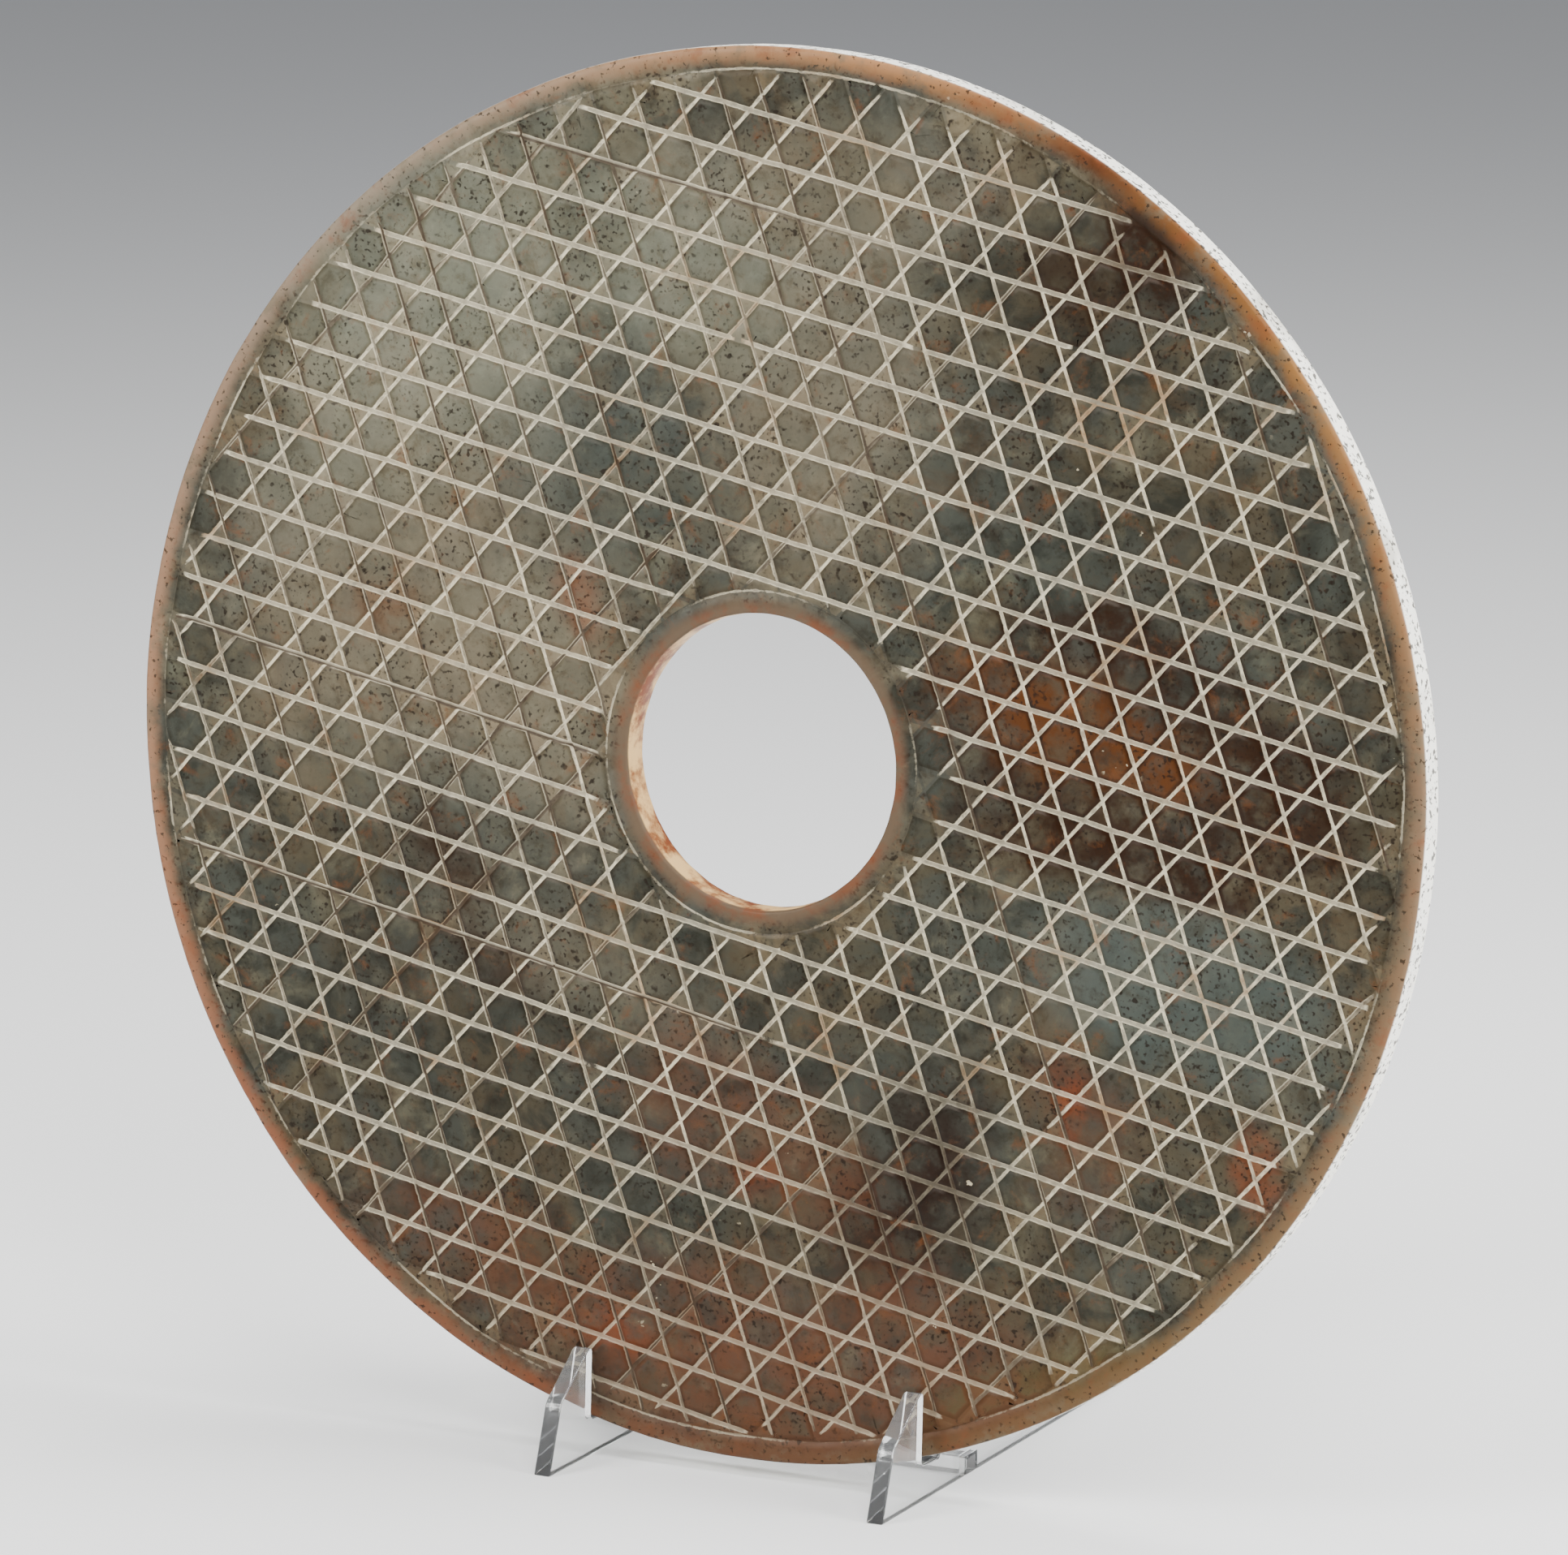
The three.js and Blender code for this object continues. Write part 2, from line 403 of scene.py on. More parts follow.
class Tone(Enum):
    """Colours that the ground and its burial have left in the stone, and the pale of a painted
    sheen.
    """

    RUST = rgb(80, 44, 17)
    BURNT = rgb(34, 16, 5)
    PLUM = rgb(26, 12, 6)
    OXBLOOD = rgb(84, 50, 32)
    # Pale milky colour standing in for the lamps' soft sheen on the polished face: painted sheen.
    PAINTED_SHEEN = rgb(132, 129, 111)
    BLUE_GREY = rgb(72, 77, 72)
    OLIVE = rgb(80, 70, 34)
    TAN = rgb(120, 110, 92)
    SMOKE = rgb(32, 29, 22)
    EMBER = rgb(112, 50, 20)


@dataclass(frozen=True)
class Stain:
    """A soft-edged patch of colour in the face.

    Its place and size are in radii of the disc, from the disc's centre.
    """

    name: str
    tone: Tone
    x: float
    y: float
    wide: float
    tall: float
    turn_deg: float
    strength: float
    ragged: float = 0.35
    softness: float = 0.8


BODY_STAINS = (
    # The first two stains are painted sheen, the soft lamp sheen seen on the upper left.
    Stain("painted_sheen_upper_left", Tone.PAINTED_SHEEN, -0.52, 0.6, 0.46, 0.3, 48, 0.6),
    Stain("painted_sheen_top", Tone.PAINTED_SHEEN, -0.12, 0.68, 0.26, 0.2, -10, 0.5),
    Stain("mist_left", Tone.TAN, -0.58, 0.2, 0.44, 0.44, 10, 0.5),
    Stain("tan_top", Tone.TAN, 0.1, 0.8, 0.4, 0.16, 0, 0.4),
    Stain("tan_upper", Tone.TAN, 0.1, 0.5, 0.22, 0.34, -20, 0.55),
    Stain("tan_left_of_bore", Tone.TAN, -0.34, 0.06, 0.2, 0.3, 0, 0.5),
    Stain("smoke_top_right", Tone.SMOKE, 0.46, 0.64, 0.24, 0.18, -35, 0.35),
    Stain("smoke_right", Tone.SMOKE, 0.62, 0.36, 0.34, 0.14, -20, 0.3),
    Stain("blue_grey_right", Tone.BLUE_GREY, 0.65, -0.26, 0.3, 0.15, -14, 0.85, 0.35, 0.5),
    Stain("blue_grey_left", Tone.BLUE_GREY, -0.26, 0.4, 0.3, 0.2, 30, 0.35),
    Stain("smoke_right_edge", Tone.SMOKE, 0.9, 0.1, 0.08, 0.3, 4, 0.4),
    Stain("smoke_low", Tone.SMOKE, -0.1, -0.55, 0.95, 0.34, 0, 0.3),
    Stain("smoke_left_low", Tone.SMOKE, -0.56, -0.34, 0.32, 0.26, 0, 0.35),
    Stain("tan_low_left", Tone.TAN, -0.3, -0.3, 0.3, 0.1, -20, 0.3, 0.8),
    Stain("olive_foot", Tone.OLIVE, 0.42, -0.86, 0.3, 0.08, 25, 0.6),
)
SKIN_STAINS = (
    Stain("burnt_right", Tone.BURNT, 0.57, 0.05, 0.34, 0.19, -6, 0.85, 0.45, 0.45),
    Stain("rust_right", Tone.RUST, 0.45, 0.1, 0.24, 0.11, -8, 0.8, 0.9, 0.9),
    Stain("rust_right_middle", Tone.RUST, 0.62, 0.05, 0.14, 0.07, -10, 0.75, 0.9, 0.9),
    Stain("burnt_right_upper", Tone.BURNT, 0.54, 0.22, 0.2, 0.05, -6, 0.85, 0.6, 0.5),
    Stain("burnt_right_lower", Tone.BURNT, 0.6, -0.09, 0.26, 0.06, -4, 0.9, 0.6, 0.5),
    Stain("burnt_right_end", Tone.BURNT, 0.8, 0.0, 0.1, 0.12, 0, 0.85, 0.6, 0.5),
    Stain("burnt_below_bore", Tone.BURNT, 0.33, -0.04, 0.1, 0.06, 0, 0.5, 0.7, 0.5),
    Stain("burnt_border", Tone.BURNT, 0.57, 0.75, 0.09, 0.12, 30, 1.0),
    Stain("burnt_border_tail", Tone.BURNT, 0.46, 0.7, 0.12, 0.06, -30, 0.6, 0.6),
    Stain("burnt_left", Tone.BURNT, -0.5, -0.16, 0.14, 0.05, -50, 0.7, 0.9),
    Stain("burnt_left_low", Tone.BURNT, -0.42, -0.33, 0.1, 0.06, -20, 0.6, 0.9),
    Stain("rust_left", Tone.RUST, -0.62, 0.17, 0.1, 0.06, 10, 0.5, 0.9),
    Stain("plum_low", Tone.PLUM, 0.27, -0.55, 0.14, 0.2, -20, 0.95, 0.5),
    Stain("plum_low_left", Tone.PLUM, 0.2, -0.66, 0.12, 0.1, 0, 0.7),
    Stain("oxblood_foot", Tone.OXBLOOD, 0.1, -0.86, 0.62, 0.22, 0, 0.75, 0.6),
    Stain("oxblood_foot_left", Tone.OXBLOOD, -0.42, -0.76, 0.26, 0.14, -30, 0.6, 0.8),
    Stain("oxblood_right", Tone.OXBLOOD, 0.5, -0.46, 0.12, 0.16, 10, 0.5, 0.9),
    Stain("oxblood_low", Tone.OXBLOOD, 0.0, -0.52, 0.3, 0.14, -15, 0.5, 0.9),
    Stain("ember_right", Tone.EMBER, 0.49, -0.42, 0.04, 0.1, 0, 0.55, 0.9),
    Stain("ember_far_right", Tone.EMBER, 0.77, -0.5, 0.04, 0.08, 10, 0.45, 0.9),
    Stain("ember_left_of_bore", Tone.EMBER, -0.29, 0.2, 0.05, 0.1, 20, 0.35, 0.9),
    Stain("ember_foot", Tone.EMBER, -0.2, -0.84, 0.06, 0.04, 0, 0.4, 0.9),
    Stain("ember_low", Tone.EMBER, 0.0, -0.6, 0.08, 0.05, 0, 0.35, 0.9),
)
EDGE_STAINS = (
    Stain("burnt_edges_right", Tone.BURNT, 0.56, 0.06, 0.36, 0.22, -6, 0.95, 0.4, 0.4),
    Stain("burnt_edges_left", Tone.BURNT, -0.46, -0.2, 0.22, 0.22, -30, 0.5, 0.9),
    Stain("burnt_edges_top", Tone.BURNT, 0.52, 0.7, 0.16, 0.14, 30, 0.7, 0.6),
)
GROOVE_SOIL = (
    Stain("soil_foot", Tone.TAN, 0.05, -0.82, 0.85, 0.36, 0, 0.6),
    Stain("soil_plum", Tone.SMOKE, 0.26, -0.55, 0.2, 0.26, -25, 0.75),
    Stain("soil_border", Tone.BURNT, 0.56, 0.75, 0.12, 0.14, 20, 0.6),
)


STAIN_REACH = 1.05
STAIN_DEPTH = 0.2
FRAY = 2.8


@dataclass(frozen=True)
class JadeFinish:
    """Polished mottled jade, with pale engraving, a warm border and a chalky rim."""

    grey_green: Rgb = rgb(62, 63, 56)
    grey_brown: Rgb = rgb(73, 65, 50)
    deep_green: Rgb = rgb(43, 44, 38)
    pale: Rgb = rgb(104, 98, 80)
    umber: Rgb = rgb(70, 50, 31)
    boss_shade: Rgb = (0.69, 0.75, 0.75)
    edge_shade: Rgb = (0.7, 0.65, 0.58)
    ground_light: Rgb = (1.34, 1.26, 1.15)
    blotch_shade: Rgb = (0.62, 0.55, 0.48)
    blotch_light: Rgb = (1.2, 1.22, 1.22)
    worn_ground: Rgb = rgb(100, 92, 74)
    speck: Rgb = rgb(24, 17, 11)
    rust_fleck: Rgb = rgb(98, 58, 30)
    chip: Rgb = rgb(178, 166, 138)
    groove_cream: Rgb = rgb(234, 223, 192)
    groove_grey: Rgb = rgb(136, 130, 113)
    # Brown of the grooves' dirt, also used as painted shade on one wall.
    groove_dirt_and_shade: Rgb = rgb(44, 30, 21)
    groove_ochre: Rgb = rgb(146, 104, 56)
    powdered: Rgb = (3.0, 2.9, 2.8)
    chalk: Rgb = rgb(240, 238, 228)
    bore_band: Rgb = rgb(92, 76, 60)
    bore_cream: Rgb = rgb(209, 171, 115)
    bore_rust: Rgb = rgb(114, 60, 34)
    polish: tuple[float, float] = (0.3, 0.5)
    sheen: float = 0.12
    sheen_tint: Rgb = (1.0, 0.88, 0.74)
    rim_band: tuple[float, float] = (4.4 * MM, 0.8 * MM)
    bore_band_reach: tuple[float, float] = (31.0 * MM, 28.2 * MM)
    rim_wall: tuple[float, float] = (129.4 * MM, 129.9 * MM)
    bore_wall: tuple[float, float] = (28.1 * MM, 27.6 * MM)
    wall_depth: tuple[float, float] = (-0.5 * MM, -1.1 * MM)
    band_fray: float = 3.0 * MM
    grain_strength: float = 0.25
    grain_height: float = 0.15 * MM
    # The border's colour from the left round by the foot, in parts of a turn.
    border: tuple[tuple[float, Rgb], ...] = (
        (0.0, rgb(142, 106, 80)),
        (0.1, rgb(122, 76, 54)),
        (0.25, rgb(86, 58, 40)),
        (0.36, rgb(96, 74, 48)),
        (0.5, rgb(116, 92, 70)),
        (0.6, rgb(132, 92, 50)),
        (0.665, rgb(78, 42, 20)),
        (0.72, rgb(150, 106, 68)),
        (0.86, rgb(124, 112, 96)),
        (1.0, rgb(142, 106, 80)),
    )

    def build(self) -> bpy.types.Material:
        """Makes the material.

        Returns:
            The jade material, read in the disc's own frame.
        """
        sheet = JadeSheet(self)
        stone = sheet.lay(sheet.mottle(), BODY_STAINS)
        stone = sheet.bosses(stone)
        stone = sheet.worn_tops(sheet.lay(stone, SKIN_STAINS), stone)
        stone = sheet.specks(stone)
        stone = sheet.border(stone)
        stone = sheet.engraving(stone)
        wear = sheet.ramp(sheet.cloud(160.0, 4.0, 0.6), 0.3, 0.75, *self.polish)
        sheet.set_shader(
            {
                "Base Color": stone,
                "Roughness": wear,
                "Specular IOR Level": self.sheen,
                "Specular Tint": (*self.sheen_tint, 1.0),
                "Normal": sheet.grain(),
            }
        )
        return sheet.material


class JadeSheet(NodeSheet):
    """The jade's node tree, laid on layer by layer in the disc's own frame."""

    def __init__(self, finish: JadeFinish) -> None:
        """Starts the tree with what its layers share.

        Args:
            finish: the jade's colours and sizes.
        """
        super().__init__("jade")
        self.finish = finish
        whole = self.node("TexCoord").outputs["Object"]
        turn = (math.pi / 2 - LEAN, 0.0, 0.0)
        placed = self.node("Mapping", whole, FACE_CENTRE, turn, vector_type="TEXTURE")
        self.at = placed.outputs["Vector"]
        self.right, self.up, self.out = self.node("SeparateXYZ", self.at).outputs
        cut = self.node("Attribute", attribute_name="engraving")
        self.lowness = cut.outputs["Alpha"]
        # The green channel carries the grooves' dirt together with painted shade on one wall.
        self.openness, self.dirt, self.greyness = self.node(
            "SeparateColor", cut.outputs["Color"]
        ).outputs
        self.boss = self.ramp(self.lowness, 0.65, 0.52)
        self.fray = self.math("SUBTRACT", self.cloud(40.0, 6.0, 0.68), 0.5)
        patches = self.cloud(110.0, 4.0, 0.6, shift=(4.0, 0.5, 0.0))
        self.patchy = self.math("MULTIPLY_ADD", self.ramp(patches, 0.3, 0.55), 0.2, 0.8)
        self.turned: dict[float, Socket] = {0: self.at}

    def cloud(
        self,
        scale: float,
        detail: float,
        roughness: float,
        distortion: float = 0.0,
        shift: tuple[float, float, float] | None = None,
    ) -> Socket:
        """Noise over the disc.

        Args:
            scale: features in a metre.
            detail: finer layers.
            roughness: strength of each finer layer.
            distortion: how far the coordinates are bent.
            shift: moves the noise, so that it agrees with no other.

        Returns:
            The noise, about 0.5 in the middle.
        """
        at = self.vector("ADD", self.at, shift) if shift else self.at
        return self.noise(at, scale, detail, roughness, distortion)

    def faded(self, value: Socket, share: float) -> Socket:
        """A value times a share."""
        return self.math("MULTIPLY", value, share)

    def turned_back(self, turn_deg: float) -> Socket:
        """The disc's coordinates turned back by an angle, made once for each angle.

        Args:
            turn_deg: the angle in the face.

        Returns:
            The turned coordinates.
        """
        if turn_deg not in self.turned:
            node = self.node("VectorRotate", self.at, rotation_type="Z_AXIS")
            node.inputs["Angle"].default_value = -math.radians(turn_deg)
            self.turned[turn_deg] = node.outputs["Vector"]
        return self.turned[turn_deg]

    def lay(self, stone: Socket, stains: tuple[Stain, ...]) -> Socket:
        """Lays each named stain over a colour.

        Args:
            stone: the colour below.
            stains: the stains, the lowest first.

        Returns:
            The stained colour.
        """
        for stain in stains:
            turn = Matrix.Rotation(-math.radians(stain.turn_deg), 3, "Z")
            middle = turn @ Vector((stain.x, stain.y, 0.0)) * DISC_RADIUS
            size = (stain.wide * DISC_RADIUS, stain.tall * DISC_RADIUS, STAIN_DEPTH)
            scale = tuple(1 / side for side in size)
            start = tuple(-place / side for place, side in zip(middle, size))
            own = self.vector("MULTIPLY_ADD", self.turned_back(stain.turn_deg), scale, start)
            away = self.vector("LENGTH", own, output="Value")
            frayed = self.math("MULTIPLY_ADD", self.fray, FRAY * stain.ragged, away)
            full = STAIN_REACH - stain.softness
            reach = self.ramp(frayed, STAIN_REACH, full, 0.0, stain.strength)
            stone = self.mix(self.math("MULTIPLY", reach, self.patchy), stone, stain.tone.value)
            stone.node.label = stain.name
        return stone

    def mottle(self) -> Socket:
        """Clouds of grey-green and grey-brown, with paler, darker and rusty drifts.

        Returns:
            The stone's colour.
        """
        jade = self.finish
        broad = self.cloud(26.0, 5.0, 0.66, 0.6)
        stone = self.mix(self.ramp(broad, 0.42, 0.58), jade.grey_green, jade.grey_brown)
        deep = self.cloud(95.0, 5.0, 0.66, 0.5, (3.1, 1.7, 0.4))
        stone = self.mix(self.ramp(deep, 0.46, 0.62, 0.0, 0.85), stone, jade.deep_green)
        light = self.cloud(75.0, 5.0, 0.66, 0.5, (0.7, 5.3, 0.9))
        stone = self.mix(self.ramp(light, 0.52, 0.72, 0.0, 0.65), stone, jade.pale)
        warm = self.cloud(48.0, 6.0, 0.7, 0.8, (2.2, 0.3, 7.0))
        return self.mix(self.ramp(warm, 0.54, 0.7, 0.0, 0.5), stone, jade.umber)

    def bosses(self, stone: Socket) -> Socket:
        """Darker, glassy six-sided bosses, and a misty ground in the small triangles.

        Args:
            stone: the colour below.

        Returns:
            The colour with bosses and ground.
        """
        jade = self.finish
        drift = self.cloud(36.0, 5.0, 0.68, shift=(8.0, 1.0, 3.0))
        ground = self.ramp(self.lowness, 0.75, 0.95)
        misty = self.tinted(self.mix(0.25, stone, jade.worn_ground), jade.ground_light)
        mist = self.math("MULTIPLY", ground, self.ramp(drift, 0.35, 0.62, 0.15, 0.8))
        stone = self.mix(mist, stone, misty)
        shade = self.math("MULTIPLY", self.boss, self.ramp(drift, 0.66, 0.4, 0.3, 0.9))
        stone = self.mix(shade, stone, self.tinted(stone, jade.boss_shade))
        blotch = self.cloud(210.0, 5.0, 0.7, 0.3, (3.0, 8.0, 5.0))
        dark = self.tinted(stone, jade.blotch_shade)
        light = self.tinted(stone, jade.blotch_light)
        stone = self.mix(self.ramp(blotch, 0.5, 0.68, 0.0, 0.75), stone, dark)
        return self.mix(self.ramp(blotch, 0.48, 0.32, 0.0, 0.75), stone, light)

    def worn_tops(self, skin: Socket, stone: Socket) -> Socket:
        """Stained skin, rubbed through in the middle of some bosses and darker at their edges.

        Args:
            skin: the stained colour.
            stone: the colour below the skin.

        Returns:
            The worn colour.
        """
        patch = self.cloud(120.0, 4.0, 0.65, shift=(9.0, 4.0, 2.0))
        middle = self.ramp(self.lowness, 0.36, 0.0)
        rubbed = self.math("MULTIPLY", middle, self.ramp(patch, 0.4, 0.6))
        stone = self.mix(self.faded(rubbed, 0.65), skin, stone)
        edge = self.math("MULTIPLY", self.boss, self.ramp(self.lowness, 0.08, 0.5, 0.0, 0.9))
        edged = self.lay(self.tinted(stone, self.finish.edge_shade), EDGE_STAINS)
        return self.mix(edge, stone, edged)

    def specks(self, stone: Socket) -> Socket:
        """Dark pits in clusters, rust flecks and a few pale chips.

        Args:
            stone: the colour below.

        Returns:
            The speckled colour.
        """
        jade = self.finish
        fine = self.cloud(1100.0, 1.0, 0.5)
        cluster = self.cloud(65.0, 5.0, 0.66)
        rightward = self.ramp(self.right, 0.5 * DISC_RADIUS, 0.88 * DISC_RADIUS, 0.0, 0.1)
        where = self.ramp(self.math("ADD", cluster, rightward), 0.4, 0.6)
        pits = self.math("MULTIPLY", self.ramp(fine, 0.56, 0.7), where)
        stone = self.mix(self.faded(pits, 0.85), stone, jade.speck)
        coarse = self.cloud(560.0, 1.5, 0.5, shift=(1.3, 0.2, 2.0))
        where = self.ramp(cluster, 0.36, 0.55)
        drops = self.math("MULTIPLY", self.ramp(coarse, 0.62, 0.72), where)
        stone = self.mix(self.faded(drops, 0.85), stone, jade.speck)
        fleck = self.cloud(150.0, 6.0, 0.72, 0.4, (5.3, 2.2, 1.0))
        stone = self.mix(self.ramp(fleck, 0.54, 0.74, 0.0, 0.55), stone, jade.rust_fleck)
        bits = self.cloud(620.0, 2.0, 0.5, shift=(2.3, 9.2, 4.0))
        few = self.ramp(self.cloud(75.0, 2.0, 0.5, shift=(1.0, 6.0, 2.0)), 0.64, 0.72)
        return self.mix(self.math("MULTIPLY", self.ramp(bits, 0.67, 0.7), few), stone, jade.chip)

    def border(self, stone: Socket) -> Socket:
        """The warm band round the rim, the chalky rim wall, and the bore's band and wall.

        Args:
            stone: the colour below.

        Returns:
            The colour with its borders.
        """
        jade = self.finish
        flat = self.node("CombineXYZ", self.right, self.up).outputs["Vector"]
        radius = self.vector("LENGTH", flat, output="Value")
        streak = self.cloud(120.0, 5.0, 0.65)
        drift = self.cloud(35.0, 4.0, 0.6)
        turn = self.math("ARCTAN2", self.up, self.right)
        share = self.math("MULTIPLY_ADD", turn, 0.5 / math.pi, 0.5)
        sway = self.math("MULTIPLY_ADD", drift, 0.06, -0.03)
        band = self._round(self.math("ADD", share, sway, clamp=True))
        band = self.mix(self.ramp(streak, 0.52, 0.68, 0.0, 0.5), band, jade.bore_rust)
        band = self.mix(self.ramp(streak, 0.48, 0.36, 0.0, 0.5), band, jade.worn_ground)
        pits = self.cloud(900.0, 2.0, 0.55)
        band = self.mix(self.ramp(pits, 0.6, 0.68, 0.0, 0.8), band, jade.speck)
        ragged = self.math("MULTIPLY_ADD", streak, jade.band_fray, -jade.band_fray / 2)
        frayed = self.math("ADD", radius, ragged)
        start, full = (DISC_RADIUS - width for width in jade.rim_band)
        stone = self.mix(self.ramp(frayed, start, full, 0.0, 0.95), stone, band)
        rust = self.ramp(streak, 0.45, 0.68, 0.0, 0.8)
        bore_band = self.mix(rust, jade.bore_band, jade.bore_rust)
        near_bore = self.ramp(frayed, *jade.bore_band_reach, 0.0, 0.85)
        stone = self.mix(near_bore, stone, bore_band)
        sunk = self.ramp(self.out, *jade.wall_depth)
        wall = self.math("MULTIPLY", self.ramp(radius, *jade.rim_wall), sunk)
        chalk = self.mix(self.ramp(drift, 0.5, 0.66, 0.0, 0.5), jade.chalk, jade.groove_grey)
        chalk = self.mix(self.ramp(pits, 0.55, 0.63, 0.0, 0.85), chalk, jade.speck)
        stone = self.mix(wall, stone, chalk)
        inside = self.math("MULTIPLY", self.ramp(radius, *jade.bore_wall), sunk)
        hollow = self.mix(self.ramp(streak, 0.42, 0.62), jade.bore_cream, jade.bore_rust)
        return self.mix(inside, stone, hollow)

    def _round(self, share: Socket) -> Socket:
        """The border's colour at a share of a turn.

        Args:
            share: the part of the turn, from the left round by the foot.

        Returns:
            The colour there.
        """
        node = self.node("ValToRGB", share)
        stops = node.color_ramp.elements
        while len(stops) < len(self.finish.border):
            stops.new(0.5)
        for stop, (place, colour) in zip(stops, self.finish.border):
            stop.position = place
            stop.color = (*colour, 1.0)
        return node.outputs["Color"]

    def engraving(self, stone: Socket) -> Socket:
        """Pale powder in the grooves, greyer on the floor of the level set, brown with dirt in
        some, and dark with painted shade on one wall of some.

        Args:
            stone: the colour below.

        Returns:
            The colour with its filled grooves.
        """
        jade = self.finish
        worn = self.cloud(520.0, 4.0, 0.7)
        patch = self.cloud(50.0, 4.0, 0.6, shift=(6.0, 3.0, 1.0))
        pale = self.mix(self.ramp(worn, 0.38, 0.64, 0.0, 0.8), jade.groove_cream, jade.groove_grey)
        pale = self.mix(self.ramp(patch, 0.52, 0.68, 0.0, 0.7), pale, jade.groove_ochre)
        floor = self.math("MULTIPLY", self.ramp(self.openness, 0.7, 1.0), self.greyness)
        pale = self.mix(self.faded(floor, 0.75), pale, jade.groove_grey)
        pale = self.lay(pale, GROOVE_SOIL)
        pale = self.mix(0.24, pale, self.tinted(stone, jade.powdered))
        # Dirt and painted wall shade darken the fill to one brown.
        pale = self.mix(self.ramp(self.dirt, 0.15, 0.85, 0.0, 0.92), pale, jade.groove_dirt_and_shade)
        edge = self.math("MULTIPLY_ADD", worn, 1.6, -0.8)
        lined = self.ramp(self.math("ADD", self.openness, edge), 0.1, 0.55, 0.0, 0.96)
        # Dirt and painted wall shade also carry the line out to its edges.
        lined = self.math("MAXIMUM", lined, self.ramp(self.dirt, 0.3, 0.6, 0.0, 0.9))
        lined = self.math("MULTIPLY", lined, self.ramp(self.openness, 0.0, 0.12))
        return self.mix(lined, stone, pale)

    def grain(self) -> Socket:
        """A slight unevenness of the polish, with fine pits.

        Returns:
            The bumped normal.
        """
        node = self.node("Bump")
        node.inputs["Strength"].default_value = self.finish.grain_strength
        node.inputs["Distance"].default_value = self.finish.grain_height
        self.link(self.cloud(420.0, 5.0, 0.65), node.inputs["Height"])
        return node.outputs["Normal"]


@dataclass(frozen=True)
class AcrylicFinish:
    """Clear polished acrylic."""

    tint: Rgb = (0.98, 0.99, 0.99)
    roughness: float = 0.04
    ior: float = 1.38
    clearness: float = 0.95

    def build(self) -> bpy.types.Material:
        """Makes the material.

        Returns:
            The see-through material.
        """
        sheet = NodeSheet("acrylic")
        sheet.set_shader(
            {
                "Base Color": (*self.tint, 1.0),
                "Roughness": self.roughness,
                "IOR": self.ior,
                "Transmission Weight": self.clearness,
            }
        )
        return sheet.material


@dataclass(frozen=True)
class FloorFinish:
    """Matt white paper."""

    tone: Rgb = (0.86, 0.86, 0.85)
    roughness: float = 0.8

    def build(self) -> bpy.types.Material:
        """Makes the material.

        Returns:
            The floor's material.
        """
        sheet = NodeSheet("pale_floor")
        sheet.set_shader({"Base Color": (*self.tone, 1.0), "Roughness": self.roughness})
        return sheet.material


# ---------------------------------------------------------------- pieces


def finish_piece(
    bm: bmesh.types.BMesh, name: str, node: str, material: bpy.types.Material
) -> bpy.types.Object:
    """Turns a bmesh into a finished piece that rides on the body and stands for a CAD node.

    Args:
        bm: the piece's mesh, already in its place.
        name: the piece's name.
        node: the CAD node that it replaces.
        material: its finish.

    Returns:
        The new object.
    """
    mesh = bpy.data.meshes.new(name)
    bm.to_mesh(mesh)
    bm.free()
    piece = bpy.data.objects.new(name, mesh)
    bpy.context.scene.collection.objects.link(piece)
    mesh.materials.append(material)
    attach(piece, BODY)
    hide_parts(node)
    return piece


def geometry_of(faces: list[bmesh.types.BMFace]) -> list:
    """Faces with their edges and corners, each once and in a steady order.

    Args:
        faces: the faces.

    Returns:
        The faces, edges and corners in one list.
    """
    edges = dict.fromkeys(edge for face in faces for edge in face.edges)
    corners = dict.fromkeys(vert for face in faces for vert in face.verts)
    return [*faces, *edges, *corners]


